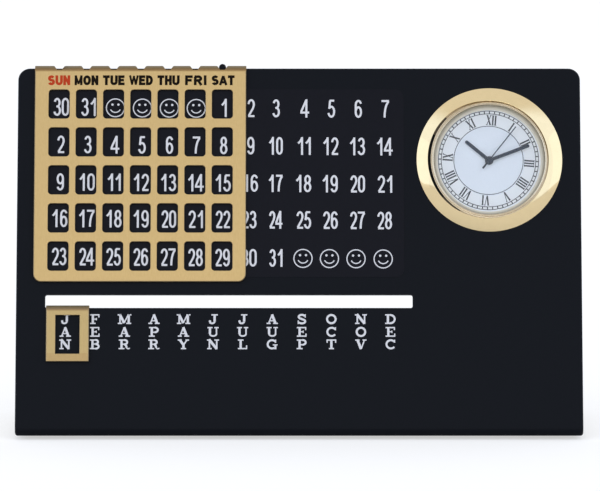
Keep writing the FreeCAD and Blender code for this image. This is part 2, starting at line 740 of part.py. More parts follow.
def bridge_screws():
    """Three pan-head screws through the bridge into the pillars."""
    shapes = []
    slot_width = size("screw_radius / 2")
    slot_depth = size("screw_head_height / 2")
    back = size("bridge_back")
    for place in pillar_places():
        across, up = (size(value) for value in place)
        head_low = back - size("screw_head_height")
        shank = Part.makeCylinder(size("screw_radius"), size("screw_length + screw_head_height"),
                                  Vector(across, up, head_low))
        head = Part.makeCylinder(size("screw_head"), size("screw_head_height"),
                                 Vector(across, up, head_low))
        slot = Part.makeBox(2 * size("screw_head"), slot_width, slot_depth,
                            Vector(across - size("screw_head"), up - slot_width / 2, head_low))
        shapes.append(shank.fuse(head).removeSplitter().cut(slot))
    group = new_piece("bridge_screws", "Part::Feature")
    group.Shape = Part.makeCompound(shapes)
    group.Placement = CLOCK


# ---------------------------------------------------------------- toothed wheels

def meshing_phase(direction, phase, teeth, other_teeth):
    """Phase in degrees of a wheel whose gap meets the tooth of one seen in that direction.

    With pitch angles p = 360 / teeth, a tooth of the first stands (phase - direction) / p pitches
    beside the line of centres. The second turns the other way, half a pitch later.
    """
    pitches = (phase - direction) * teeth / 360.0
    return direction + 180 - (pitches + 0.5) * 360.0 / other_teeth


def toothed(teeth, module, phase, low, high):
    """Ring of straight-sided teeth, one centred on the phase angle, between two levels."""
    pitch_radius = teeth * module / 2
    tip = pitch_radius + size("tip_height_ratio") * module
    root = pitch_radius - size("root_depth_ratio") * module
    half_tip = size("half_tip_ratio") * module / tip
    half_root = size("half_root_ratio") * module / root
    points = []
    for tooth in range(teeth):
        middle = math.radians(phase + tooth * 360.0 / teeth)
        for radius, offset in ((root, -half_root), (tip, -half_tip), (tip, half_tip), (root, half_root)):
            angle = middle + offset
            points.append(Vector(radius * math.cos(angle), radius * math.sin(angle), low))
    face = Part.Face(Part.makePolygon(points + points[:1]))
    return face.extrude(Vector(0, 0, high - low))


def rod(radius, low, high):
    return Part.makeCylinder(radius, high - low, Vector(0, 0, low))


def drill(radius, low, high):
    """Cutter for a bore from low to high, a little longer at both ends."""
    overrun = size("drill_overrun")
    return rod(radius, low - overrun, high + overrun)


def fused(first, *others):
    return first.multiFuse(list(others)).removeSplitter()


def wheel_piece(label, shape, place=CENTRE):
    piece = new_piece(label, "Part::Feature")
    piece.Shape = shape
    piece.Placement = on_clock(size(place[0]), size(place[1]))


def levels(depth_name):
    """Low and high faces of a wheel and of its pinion's span, at a depth behind the main plate."""
    middle = size("plate_back - " + depth_name)
    wheel_half = size("wheel_face / 2")
    pinion_half = size("pinion_face / 2")
    return (middle - wheel_half, middle + wheel_half), (middle - pinion_half, middle + pinion_half)


def cannon_levels():
    """Cannon pinion and minute wheel, just before the main plate."""
    low = size("plate_front + 2 * running_gap")
    return (low, low + size("wheel_face")), (low, low + size("pinion_face"))


def hour_levels():
    """Hour wheel and minute pinion, just behind the dial."""
    high = size("dial_back - 2 * running_gap") - size("wheel_face")
    return (high - size("wheel_face"), high), (high - size("pinion_face"), high)


def centre_module():
    """Third pinion and centre wheel share the spacing of third wheel and fourth pinion."""
    first = WHEELS["third_teeth"] + PINIONS["fourth_teeth"]
    second = WHEELS["centre_teeth"] + PINIONS["third_teeth"]
    return size("third_module") * first / second


def hour_module():
    first = PINIONS["cannon_teeth"] + WHEELS["minute_teeth"]
    second = PINIONS["minute_teeth"] + WHEELS["hour_teeth"]
    return size("motion_module") * first / second


def centre_wheel():
    """Minute pipe with its wheel behind the main plate and the cannon pinion before it."""
    wheel, _ = levels("centre_level")
    _, pinion = cannon_levels()
    tip = size("dial_front + minute_lift + hand_thickness + pipe_tip")
    bore = size("second_arbor + running_gap")
    pipe = rod(size("minute_pipe"), wheel[0], tip)
    gear = toothed(WHEELS["centre_teeth"], centre_module(), 0, *wheel)
    cannon = toothed(PINIONS["cannon_teeth"], size("motion_module"), 0, *pinion)
    wheel_piece("centre_wheel", fused(gear, pipe, cannon).cut(drill(bore, wheel[0], tip)))


def third_wheel():
    wheel, _ = levels("third_level")
    _, pinion = levels("centre_level")
    phase = meshing_phase(size("third_direction"), 0, WHEELS["centre_teeth"], PINIONS["third_teeth"])
    arbor = rod(size("wheel_arbor"), size("bridge_back"), size("plate_front"))
    hub = rod(size("wheel_hub"), wheel[0] - size("running_gap"), pinion[1])
    gear = toothed(WHEELS["third_teeth"], size("third_module"), 0, *wheel)
    leaves = toothed(PINIONS["third_teeth"], centre_module(), phase, *pinion)
    wheel_piece("third_wheel", fused(gear, hub, leaves, arbor), third_place())


def fourth_wheel():
    """Seconds arbor: its wheel meets the fifth pinion, its pinion the third wheel."""
    wheel, _ = levels("fourth_level")
    _, pinion = levels("third_level")
    phase = meshing_phase(size("third_direction") + 180, 0, WHEELS["third_teeth"],
                          PINIONS["fourth_teeth"])
    tip = size("dial_front + second_lift + hand_thickness / 2")
    arbor = rod(size("second_arbor"), size("bridge_back"), tip)
    hub = rod(size("wheel_hub"), wheel[0] - size("running_gap"), pinion[0])
    gear = toothed(WHEELS["fourth_teeth"], size("fifth_module"), 0, *wheel)
    leaves = toothed(PINIONS["fourth_teeth"], size("third_module"), phase, *pinion)
    wheel_piece("fourth_wheel", fused(gear, hub, leaves, arbor))


def fifth_wheel():
    wheel, _ = levels("fifth_level")
    _, pinion = levels("fourth_level")
    phase = meshing_phase(size("fifth_direction"), 0, WHEELS["fourth_teeth"], PINIONS["fifth_teeth"])
    arbor = rod(size("wheel_arbor"), size("bridge_back"), size("plate_front"))
    hub = rod(size("wheel_hub"), wheel[0] - size("running_gap"), pinion[0])
    gear = toothed(WHEELS["fifth_teeth"], size("rotor_module"), 0, *wheel)
    leaves = toothed(PINIONS["fifth_teeth"], size("fifth_module"), phase, *pinion)
    wheel_piece("fifth_wheel", fused(gear, hub, leaves, arbor), fifth_place())


def rotor():
    """Magnet with its pinion, stepped half a turn each second."""
    _, pinion = levels("fifth_level")
    phase = meshing_phase(size("rotor_direction"), 0, WHEELS["fifth_teeth"], PINIONS["rotor_teeth"])
    arbor = rod(size("wheel_arbor"), size("bridge_back"), size("plate_front"))
    high = size("plate_back - magnet_level")
    magnet = rod(size("magnet_radius"), high - size("magnet_height"), high)
    leaves = toothed(PINIONS["rotor_teeth"], size("rotor_module"), phase, *pinion)
    wheel_piece("rotor", fused(magnet, arbor, leaves), rotor_place())


def minute_wheel_phase():
    return meshing_phase(size("minute_direction"), 0, PINIONS["cannon_teeth"], WHEELS["minute_teeth"])


def minute_wheel():
    """Wheel driven by the cannon pinion, on the main plate's stud."""
    wheel, _ = cannon_levels()
    _, pinion = hour_levels()
    gear = toothed(WHEELS["minute_teeth"], size("motion_module"), minute_wheel_phase(), *wheel)
    leaves = toothed(PINIONS["minute_teeth"], hour_module(), 0, wheel[1], pinion[1])
    bore = drill(size("stud_radius + running_gap"), wheel[0], pinion[1])
    wheel_piece("minute_wheel", fused(gear, leaves).cut(bore), minute_place())


def hour_wheel():
    """Hour pipe with its wheel, turning on the minute pipe."""
    wheel, _ = hour_levels()
    phase = meshing_phase(size("minute_direction") + 180, 0, PINIONS["minute_teeth"],
                          WHEELS["hour_teeth"])
    tip = size("dial_front + hour_lift + hand_thickness + pipe_tip")
    gear = toothed(WHEELS["hour_teeth"], hour_module(), phase, *wheel)
    pipe = rod(size("hour_pipe"), wheel[0] - size("running_gap"), tip)
    bore = drill(size("minute_pipe + running_gap"), wheel[0], tip)
    wheel_piece("hour_wheel", fused(gear, pipe).cut(bore))


def setting_knob():
    """Knob behind the case; its stem's pinion drives the minute wheel."""
    wheel, _ = cannon_levels()
    phase = meshing_phase(size("stem_direction"), minute_wheel_phase(), WHEELS["minute_teeth"],
                          PINIONS["cannon_teeth"])
    high = size("case_back - 2 * running_gap")
    low = high - size("knob_height")
    knob = rod(size("knob_radius"), low, high)
    for groove in range(int(size("knob_grooves"))):
        angle = math.radians(groove * 360.0 / size("knob_grooves"))
        spot = Vector(size("knob_radius") * math.cos(angle), size("knob_radius") * math.sin(angle), low)
        knob = knob.cut(Part.makeCylinder(size("knob_groove_radius"), high - low, spot))
    stem = rod(size("setting_stem"), high, wheel[1])
    leaves = toothed(PINIONS["cannon_teeth"], size("motion_module"), phase, *wheel)
    wheel_piece("setting_knob", fused(knob, stem, leaves), stem_place())


# ---------------------------------------------------------------- hands

def hand(label, lift, length, width, hub, bore, turn, thickness="hand_thickness", tail=None):
    """Straight round-ended blade on a hub, pointing up the dial before its turn."""
    body = new_body(label, on_clock(turn=size(turn)))
    low = "dial_front + " + lift
    blade = new_sketch(body, "blade", "XY_Plane", low)
    half = "%s / 2" % width
    tip = "%s - %s" % (length, half)
    corners = [("-" + half, "0"), (half, "0"), (half, tip, "0", length), ("-" + half, tip)]
    outline(blade, corners)
    pad(body, blade, thickness)
    if tail is not None:
        back = new_sketch(body, "tail", "XY_Plane", low)
        end, tail_width = tail
        wide = "%s / 2" % tail_width
        outline(back, [("-" + wide, "-" + end), (wide, "-" + end), (wide, "0"), ("-" + wide, "0")])
        pad(body, back, thickness)
    disc = new_sketch(body, "hub", "XY_Plane", low)
    circle(disc, hub)
    pad(body, disc, thickness)
    hole = new_sketch(body, "bore", "XY_Plane", low)
    circle(hole, bore)
    pocket(body, hole, thickness + " / 2" if tail is not None else thickness, reverse=True)


def hands():
    hand("hour_hand", "hour_lift", "hour_length", "hand_width", "hour_hub", "hour_pipe", "hour_turn")
    hand("minute_hand", "minute_lift", "minute_length", "hand_width", "minute_hub", "minute_pipe",
         "minute_turn")
    hand("second_hand", "second_lift", "second_length", "second_width", "second_hub", "second_arbor",
         "second_turn", tail=("second_tail", "tail_width"))


# ---------------------------------------------------------------- step motor, electronics, cell

def stator():
    """Iron plate around the rotor, with an open bay for the coil."""
    body = new_body("stator", CLOCK)
    plate = new_sketch(body, "plate", "XY_Plane", "stator_back")
    outline(plate, [
        ("stator_left", "stator_bottom"),
        ("coil_left", "stator_bottom"),
        ("coil_left", "coil_window_top"),
        ("coil_right", "coil_window_top"),
        ("coil_right", "stator_bottom"),
        ("stator_right", "stator_bottom"),
        ("stator_right", "stator_top"),
        ("stator_left", "stator_top"),
    ])
    pad(body, plate, "stator_thickness")
    hole_row(body, "rotor_hole", [rotor_place()], "magnet_radius + stator_gap", "stator_back",
             "stator_thickness")


def coil_core():
    """Iron bar that bridges the stator's bay through the coil."""
    body = new_body("coil_core", CLOCK)
    bar = new_sketch(body, "bar", "XY_Plane", "stator_back")
    left = "coil_left - core_overlap"
    right = "coil_right + core_overlap"
    low = "coil_axis - core_width / 2"
    high = "coil_axis + core_width / 2"
    outline(bar, [(left, low), (right, low), (right, high), (left, high)])
    pad(body, bar, "core_thickness", reverse=True)


def coil_winding():
    """Copper wire wound around the core, drawn as its outer shape."""
    body = new_body("coil_winding", CLOCK)
    middle = "(stator_back - core_thickness / 2)"
    section = new_sketch(body, "section", "YZ_Plane", "coil_left + coil_end_gap")
    circle(section, "coil_radius", "coil_axis", middle)
    near = "coil_axis - core_width / 2 - press_gap"
    far = "coil_axis + core_width / 2 + press_gap"
    low = "stator_back - core_thickness - press_gap"
    high = "stator_back + press_gap"
    outline(section, [(near, low), (far, low), (far, high), (near, high)])
    pad(body, section, "coil_right - coil_left - 2 * coil_end_gap")


def circuit_board():
    """Board beside the train, under the cell, cut back to the can's round wall."""
    body = new_body("circuit_board", CLOCK)
    outline_sketch = new_sketch(body, "outline", "XY_Plane", "board_back")
    corner = "(board_right - board_left) / 2"
    outline(outline_sketch, [
        ("board_left", "board_bottom"),
        ("board_right", "board_bottom"),
        ("board_right", "board_top - " + corner),
        ("board_right - " + corner, "board_top"),
        ("board_left", "board_top"),
    ])
    pad(body, outline_sketch, "board_thickness")


def driver_chip():
    """Resin blob over the timing chip, on the board's rear face."""
    body = new_body("driver_chip", CLOCK)
    sketch = new_sketch(body, "blob", "XY_Plane", "board_back")
    left = "board_left + chip_side / 2"
    bottom = "board_bottom + chip_side / 2"
    outline(sketch, [
        (left, bottom),
        (left + " + chip_side", bottom),
        (left + " + chip_side", bottom + " + chip_side"),
        (left, bottom + " + chip_side"),
    ])
    pad(body, sketch, "chip_height", reverse=True)


def quartz_can():
    """Tuning-fork crystal in its can, lying on the board's rear face."""
    body = new_body("quartz_can", CLOCK)
    across = "board_right - 2 * quartz_radius"
    level = "board_back - quartz_radius"
    section = new_sketch(body, "section", "XZ_Plane", "-board_bottom - quartz_radius")
    circle(section, "quartz_radius", across, level)
    pad(body, section, "quartz_length", reverse=True)


def cell_place():
    return on_clock(size("cell_across"), size("cell_up"))


def button_cell():
    """Silver-oxide cell: a wide can and the narrower cap of its negative side, facing the board."""
    turned_body("button_cell", [
        ("0", "cell_back"),
        ("cell_radius - cell_edge", "cell_back"),
        ("cell_radius", "cell_back + cell_edge"),
        ("cell_radius", "cell_front - cap_height"),
        ("cell_radius - cap_inset", "cell_front - cap_height"),
        ("cell_radius - cap_inset", "cell_front"),
        ("0", "cell_front"),
    ], cell_place())


def negative_contact():
    """Strip between the board and the cell's cap."""
    body = new_body("negative_contact", cell_place())
    sketch = new_sketch(body, "strip", "XY_Plane", "cell_front")
    half = "contact_width / 2"
    reach = "cell_radius / 2"
    outline(sketch, [("-" + half, "-" + reach), (half, "-" + reach), (half, reach), ("-" + half, reach)])
    pad(body, sketch, "contact_sheet")


def positive_contact():
    """Strip that stands on the board and leans against the cell's side."""
    body = new_body("positive_contact", cell_place())
    sketch = new_sketch(body, "strip", "XY_Plane", "board_back")
    half = "contact_width / 2"
    near = "-cell_radius - fit_gap"
    far = near + " - contact_sheet"
    outline(sketch, [("-" + half, far), (half, far), (half, near), ("-" + half, near)])
    pad(body, sketch, "board_back - bridge_front - fit_gap", reverse=True)


def battery_cover():
    """Twist cover in the back of the can, with a coin slot."""
    body = turned_body("battery_cover", [
        ("0", "case_back - cover_flange"),
        ("cover_radius", "case_back - cover_flange"),
        ("cover_radius", "case_back"),
        ("cover_plug", "case_back"),
        ("cover_plug", "case_floor"),
        ("0", "case_floor"),
    ], cell_place())
    slot = new_sketch(body, "coin_slot", "XY_Plane", "case_back - cover_flange")
    half = "coin_slot_length / 2"
    wide = "coin_slot_width / 2"
    outline(slot, [("-" + half, "-" + wide), (half, "-" + wide), (half, wide), ("-" + half, wide)])
    pocket(body, slot, "coin_slot_depth", reverse=True)


# ---------------------------------------------------------------- build and check

def build_everything():
    for make in (easel_panel, foot_pads, date_label, calendar_plate, month_frame,
                 bezel, friction_band, crystal, crystal_gasket, rehaut, dial, insert_case,
                 main_plate, train_bridge, bridge_screws,
                 centre_wheel, third_wheel, fourth_wheel, fifth_wheel, rotor, minute_wheel,
                 hour_wheel, setting_knob, hands,
                 stator, coil_core, coil_winding, circuit_board, driver_chip, quartz_can,
                 button_cell, negative_contact, positive_contact, battery_cover):
        make()
    doc.recompute()


def check_everything():
    """Stop if any object failed to recompute or any piece has no valid solid."""
    for thing in doc.Objects:
        failed = [state for state in thing.State if state in ("Invalid", "Error")]
        if failed:
            raise RuntimeError("%s is %s" % (thing.Label, failed))
    for piece in pieces:
        if piece.Shape.isNull() or not piece.Shape.isValid() or not piece.Shape.Solids:
            raise RuntimeError("%s has no valid shape" % piece.Label)


def write_everything():
    os.makedirs("parts", exist_ok=True)
    for piece in pieces:
        piece.Shape.exportStep("parts/%s.step" % piece.Label)
        box = piece.Shape.BoundBox
        print("%-18s %d solid(s) %9.2f mm3  box %6.2f %6.2f %6.2f" % (
            piece.Label, len(piece.Shape.Solids), piece.Shape.Volume,
            box.XLength, box.YLength, box.ZLength))


build_everything()
check_everything()
write_everything()
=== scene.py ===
# %% [markdown]
# # A desk clock with a perpetual calendar
# One bent black sheet stands on a desk. A brass plate with five rows of windows hooks over its top
# edge and slides one column at a time, so that the printed dates fall under the right weekdays. A
# small brass frame hooks into a long slot and marks the month. A ready-made clock sits in a hole.
#
# The solids come from the CAD model. This lesson dresses them: it builds the printed figures, the
# turned bezel and the fine edges as surfaces, and gives every piece its finish.

# %% Load the solids
import json
import math
import bmesh
import bpy
import numpy as np
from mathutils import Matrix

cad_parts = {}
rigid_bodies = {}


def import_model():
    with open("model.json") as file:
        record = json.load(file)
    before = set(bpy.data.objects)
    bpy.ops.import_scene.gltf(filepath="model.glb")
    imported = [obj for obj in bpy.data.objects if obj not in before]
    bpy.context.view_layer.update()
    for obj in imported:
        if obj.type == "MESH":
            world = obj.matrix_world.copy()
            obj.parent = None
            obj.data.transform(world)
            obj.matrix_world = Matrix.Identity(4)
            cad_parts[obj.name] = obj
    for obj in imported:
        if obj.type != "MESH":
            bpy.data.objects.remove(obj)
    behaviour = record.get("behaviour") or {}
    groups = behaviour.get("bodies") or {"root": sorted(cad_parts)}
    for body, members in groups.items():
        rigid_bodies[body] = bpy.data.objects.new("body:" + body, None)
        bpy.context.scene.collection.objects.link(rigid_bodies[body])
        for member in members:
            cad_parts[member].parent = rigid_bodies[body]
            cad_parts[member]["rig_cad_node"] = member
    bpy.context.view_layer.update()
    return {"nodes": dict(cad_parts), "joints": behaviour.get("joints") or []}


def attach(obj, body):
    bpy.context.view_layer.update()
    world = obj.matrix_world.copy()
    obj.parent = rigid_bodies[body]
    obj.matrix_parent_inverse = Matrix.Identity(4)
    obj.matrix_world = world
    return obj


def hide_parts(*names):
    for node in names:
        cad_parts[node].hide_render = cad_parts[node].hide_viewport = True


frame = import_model()
MM = 0.001

# %% [markdown]
# ## Two flat drawing boards
# Almost everything here is drawn flat: dates on the leaning face, numerals on the dial. It is
# easiest to draw in millimetres on a board, and to carry the drawing to its place afterwards. The
# joint that turns the clock in its hole already holds what is needed: a point on the face and the
# direction into it. Both boards use across, up, and out towards the reader. The clock's board is
# turned a little with its dial.

# %% Boards on the face and on the clock
turn = next(joint for joint in frame["joints"] if joint["name"] == "insert_turn")
CLOCK_CENTRE = np.array(turn["pos_m"])
OUT = -np.array(turn["axis"])
ACROSS = np.array([1.0, 0.0, 0.0])
UP = np.cross(OUT, ACROSS)
CLOCK_ACROSS, CLOCK_UP = 66.85, 97.15
FACE_ORIGIN = CLOCK_CENTRE - (CLOCK_ACROSS * ACROSS + CLOCK_UP * UP) * MM
DIAL_TURN = math.radians(4.5)
DIAL_ACROSS = math.cos(DIAL_TURN) * ACROSS - math.sin(DIAL_TURN) * UP
DIAL_UP = math.sin(DIAL_TURN) * ACROSS + math.cos(DIAL_TURN) * UP


def board(origin, rightwards, upwards):
    """A function: place = origin + across, up and out along the board's directions, in mm."""
    def place(across, up, out):
        return origin + MM * (np.multiply.outer(across, rightwards) + np.multiply.outer(up, upwards)
                              + np.multiply.outer(out, OUT))
    return place


on_face = board(FACE_ORIGIN, ACROSS, UP)
on_clock = board(CLOCK_CENTRE, DIAL_ACROSS, DIAL_UP)
print("face leans", round(math.degrees(math.asin(OUT[2])), 1), "degrees")

# %% [markdown]
# ## Camera
# A long lens far away keeps the edges of the sheet nearly parallel, as in a catalogue picture. The
# camera stands a little higher than the clock, so the folded top of the brass plate just shows.

# %% Camera
LENS, SENSOR_WIDE = 265.0, 36.0
CAMERA_DISTANCE, SEEN_FROM, SEEN_TO = 1.547, 0.05, 50.0
CAMERA_RISE = math.radians(6.0)
AIM_ACROSS, AIM_UP = 0.32, 66.7
aim = on_face(AIM_ACROSS, AIM_UP, 0.0)
back = np.array([0.0, -math.cos(CAMERA_RISE), math.sin(CAMERA_RISE)])
camera_data = bpy.data.cameras.new("camera")
camera_data.lens, camera_data.sensor_width = LENS, SENSOR_WIDE
camera_data.clip_start, camera_data.clip_end = SEEN_FROM, SEEN_TO
camera = bpy.data.objects.new("camera", camera_data)
camera.location = aim + back * CAMERA_DISTANCE
camera.rotation_euler = (math.pi / 2 - CAMERA_RISE, 0.0, 0.0)
bpy.context.scene.collection.objects.link(camera)
bpy.context.scene.camera = camera
print("camera at", [round(v, 3) for v in camera.location])

# %% [markdown]
# ## Building a surface from whole arrays
# Every new piece below is a table of places and a table of four-cornered faces. numpy works both
# out at once, and Blender takes them as lists.

# %% One helper that turns arrays into a piece
def link_piece(name, places, faces, material, body, smooth=True):
    """A mesh piece from places (n x 3) and faces, riding on a body and finished as a slot."""
    mesh = bpy.data.meshes.new(name)
    mesh.from_pydata(places.reshape(-1, 3).tolist(), [], faces.tolist())
    mesh.polygons.foreach_set("use_smooth", [smooth] * len(mesh.polygons))
    mesh.materials.append(material)
    mesh.update()
    piece = bpy.data.objects.new(name, mesh)
    bpy.context.scene.collection.objects.link(piece)
    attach(piece, body)
    print(name, "has", len(mesh.polygons), "faces and rides on", body)
    return piece


# %% [markdown]
# ## Finishes
# A flat colour looks like plastic from a toy. A real finish has a little unevenness in colour, in
# gloss and in height, each at its own scale. One recipe covers most of them: a noise pattern,
# stretched where the tool marks run, mixes two near shades, moves the roughness a little and
# gives a faint bump.

# %% Materials and their nodes
def new_material(name):
    """A material with its nodes, its links and its Principled shader."""
    material = bpy.data.materials.new(name)
    material.use_nodes = True
    nodes = material.node_tree.nodes
    return material, nodes, material.node_tree.links, nodes["Principled BSDF"]


def preset(node, values):
    """Fixed values on the named sockets of a node."""
    for socket, value in values.items():
        node.inputs[socket].default_value = value
    return node


def colour_mix(nodes, values):
    """A node that mixes the colours A and B by its factor."""
    mix = nodes.new("ShaderNodeMix")
    mix.data_type = "RGBA"
    return preset(mix, values)


print("materials can be made")

# %% The common recipe
NOISE_DETAIL, SMOOTHEST = 3.0, 0.02
SHADE_UP_TO, OTHER_SHADE_FROM = 0.3, 0.7


def finish(name, shade, other_shade, roughness, metallic=0.0, specular=0.5, grain=900.0,
           stretch=(1.0, 1.0, 1.0), relief=4e-6, uneven=0.08):
    """Principled shader: colour = mix(shade, other shade, noise); gloss and height follow it."""
    material, nodes, links, shader = new_material(name)
    preset(shader, {"Metallic": metallic, "Specular IOR Level": specular})
    place = nodes.new("ShaderNodeTexCoord")
    mapping = preset(nodes.new("ShaderNodeMapping"), {"Scale": stretch})
    noise = preset(nodes.new("ShaderNodeTexNoise"), {"Scale": grain, "Detail": NOISE_DETAIL})
    ramp = nodes.new("ShaderNodeValToRGB")
    low, high = ramp.color_ramp.elements
    low.position, low.color = SHADE_UP_TO, (*shade, 1.0)
    high.position, high.color = OTHER_SHADE_FROM, (*other_shade, 1.0)
    gloss = preset(nodes.new("ShaderNodeMapRange"), {"To Min": max(roughness - uneven, SMOOTHEST),
                                                     "To Max": roughness + uneven})
    bump = preset(nodes.new("ShaderNodeBump"), {"Distance": relief})
    links.new(place.outputs["Object"], mapping.inputs["Vector"])
    links.new(mapping.outputs["Vector"], noise.inputs["Vector"])
    links.new(ramp.outputs["Color"], shader.inputs["Base Color"])
    links.new(gloss.outputs["Result"], shader.inputs["Roughness"])
    links.new(bump.outputs["Normal"], shader.inputs["Normal"])
    for socket in (ramp.inputs["Fac"], gloss.inputs["Value"], bump.inputs["Height"]):
        links.new(noise.outputs["Fac"], socket)
    return material


print("noise of detail", NOISE_DETAIL, "mixes the shades")

# %% Finishes of the sheets, plastics and metals
SHEET = {"metallic": 1.0, "grain": 260.0, "stretch": (9.0, 9.0, 0.35), "relief": 1.5e-6,
         "uneven": 0.05}
POLISHED = {"metallic": 1.0, "grain": 500.0, "relief": 4e-7, "uneven": 0.02}
FINISHES = {
    "black_sheet": finish("black_baked_enamel", (0.0018, 0.0028, 0.0050), (0.0028, 0.0036, 0.0060),
                          0.46, specular=0.08, grain=1500.0, relief=6e-6),
    "label_film": finish("black_printed_film", (0.0026, 0.0028, 0.0056), (0.0034, 0.0036, 0.0066),
                         0.42, specular=0.09, grain=600.0, relief=2e-6),
    "rubber": finish("black_rubber", (0.010, 0.010, 0.011), (0.018, 0.018, 0.018), 0.8,
                     grain=2500.0, relief=2e-5),
    "gold_sheet": finish("satin_lacquered_brass", (0.472, 0.326, 0.138), (0.512, 0.356, 0.156),
                         0.40, **SHEET),
    "gold_polished": finish("polished_gold_plating", (0.745, 0.600, 0.350), (0.770, 0.620, 0.365),
                            0.07, **POLISHED),
    "hand_slate": finish("slate_hand_lacquer", (0.009, 0.026, 0.052), (0.012, 0.030, 0.058), 0.5,
                         specular=0.05, grain=900.0, relief=1e-6),
    "black_plastic": finish("moulded_black_plastic", (0.014, 0.014, 0.016), (0.022, 0.022, 0.024),
                            0.5, grain=1800.0, relief=1.2e-5),
    "movement_plastic": finish("moulded_grey_plastic", (0.50, 0.50, 0.47), (0.58, 0.58, 0.54), 0.5,
                               grain=900.0, relief=5e-6),
    "wheel_plastic": finish("natural_acetal", (0.70, 0.68, 0.58), (0.78, 0.75, 0.66), 0.42,
                            grain=1200.0, relief=2e-6),
    "brass_wheel": finish("cut_brass", (0.66, 0.47, 0.20), (0.76, 0.56, 0.27), 0.3, metallic=1.0,
                          grain=1500.0, stretch=(1.0, 1.0, 6.0), relief=2e-6),
    "steel": finish("bright_steel", (0.50, 0.50, 0.50), (0.62, 0.62, 0.62), 0.28, metallic=1.0,
                    grain=1500.0, stretch=(6.0, 1.0, 1.0), relief=2e-6),
    "copper_wire": finish("enamelled_copper_wire", (0.42, 0.14, 0.05), (0.58, 0.23, 0.09), 0.3,
                          metallic=0.8, grain=600.0, stretch=(14.0, 1.0, 1.0), relief=2e-5),
    "board_green": finish("green_circuit_board", (0.015, 0.10, 0.04), (0.03, 0.15, 0.06), 0.4,
                          grain=1500.0, relief=4e-6),
    "resin": finish("black_potting_resin", (0.008, 0.008, 0.009), (0.014, 0.014, 0.014), 0.25,
                    grain=700.0, relief=8e-6),
    "silicone": finish("dark_silicone", (0.030, 0.030, 0.032), (0.042, 0.042, 0.044), 0.6,
                       grain=1200.0, relief=5e-6),
}
print("finishes:", len(FINISHES))

# %% [markdown]
# ## Glass and dial
# Glass lets light through, but a renderer would still cast its shadow on the dial. Rays that only
# ask for shadow therefore see nothing at all. The dial is a cool white lacquer, slightly bluer
# inside the ring of hours than outside it. The ring around the dial darkens outwards: painted shade
# where it meets the bezel. Both colours follow the distance from the clock's centre.

# %% Glass
def clear_glass():
    """Mix of a glass shader and, for shadow rays, a fully transparent one."""
    material, nodes, links, shader = new_material("clear_mineral_glass")
    preset(shader, {"Base Color": (0.97, 0.985, 1.0, 1.0), "Roughness": 0.0, "IOR": 1.5,
                    "Transmission Weight": 1.0})
    clear = nodes.new("ShaderNodeBsdfTransparent")
    ray = nodes.new("ShaderNodeLightPath")
    mix = nodes.new("ShaderNodeMixShader")
    links.new(ray.outputs["Is Shadow Ray"], mix.inputs["Fac"])
    links.new(shader.outputs["BSDF"], mix.inputs[1])
    links.new(clear.outputs["BSDF"], mix.inputs[2])
    links.new(mix.outputs["Shader"], nodes["Material Output"].inputs["Surface"])
    return material


FINISHES["glass"] = clear_glass()
print("glass of", len(FINISHES["glass"].node_tree.nodes), "nodes")

# %% Two tones by the distance from the clock's centre
HOUR_RING_INSIDE, RING_PRINT = 12.2, (0.3, 0.6)


def two_tones(material, other_tone, start, end):
    """Colour = the finish's own up to the start, the other tone beyond the end, both in mm."""
    nodes, links = material.node_tree.nodes, material.node_tree.links
    place = nodes.new("ShaderNodeTexCoord")
    centre = preset(nodes.new("ShaderNodeMapping"), {"Location": -CLOCK_CENTRE})
    length = nodes.new("ShaderNodeVectorMath")
    length.operation = "LENGTH"
    step = preset(nodes.new("ShaderNodeMapRange"), {"From Min": start * MM, "From Max": end * MM})
    mix = colour_mix(nodes, {"B": (*other_tone, 1.0)})
    ramp = next(node for node in nodes if node.bl_idname == "ShaderNodeValToRGB")
    links.new(place.outputs["Object"], centre.inputs["Vector"])
    links.new(centre.outputs["Vector"], length.inputs[0])
    links.new(length.outputs["Value"], step.inputs["Value"])
    links.new(step.outputs["Result"], mix.inputs["Factor"])
    links.new(ramp.outputs["Color"], mix.inputs["A"])
    links.new(mix.outputs["Result"], nodes["Principled BSDF"].inputs["Base Color"])
    return material


FINISHES["dial_white"] = two_tones(
    finish("cool_white_dial_lacquer", (0.796, 0.836, 0.884), (0.812, 0.850, 0.898), 0.45,
           grain=1200.0, relief=1e-6),
    (0.866, 0.878, 0.888), *(HOUR_RING_INSIDE + beyond for beyond in RING_PRINT))
# The darker outer tone of the champagne ring is painted shade where it meets the bezel.
FINISHES["rehaut_grey"] = two_tones(
    finish("champagne_ring_and_painted_shade", (0.83, 0.75, 0.60), (0.85, 0.77, 0.61), 0.5, grain=500.0, relief=1e-7),
    (0.40, 0.326, 0.202), 18.55, 19.25)
print("glass and dial are ready")

# %% [markdown]
# ## Dressing the solids
# Each solid already carries the name of its finish in its material slot, so one loop swaps the
# plain colours for the finishes above.

# %% Give every solid its finish
for node in frame["nodes"].values():
    for material_slot in node.material_slots:
        material_slot.material = FINISHES[material_slot.material.name.split(".")[0]]
print("dressed", len(frame["nodes"]), "solids")

# %% [markdown]
# ## Softened edges
# Stamped and bent sheet never has a knife edge: the tool rolls it over by a few tenths of a
# millimetre, and the rolled edge reflects another part of the room than the face. The solids are
# joined triangles with sharp edges, so each visible brass and slate piece gets a copy with its
# corners merged and a small bevel. On the plate and the frame, the bevel and the bend at the top
# get darker brass as painted shade. The knob and the twist cover behind are a lighter, smoother
# black than the can they sit in.

# %% Copies with a rolled edge
MERGE_WITHIN, SHARP, FLAT, LIGHTER = 1e-6, math.radians(32.0), math.radians(0.3), 1.08


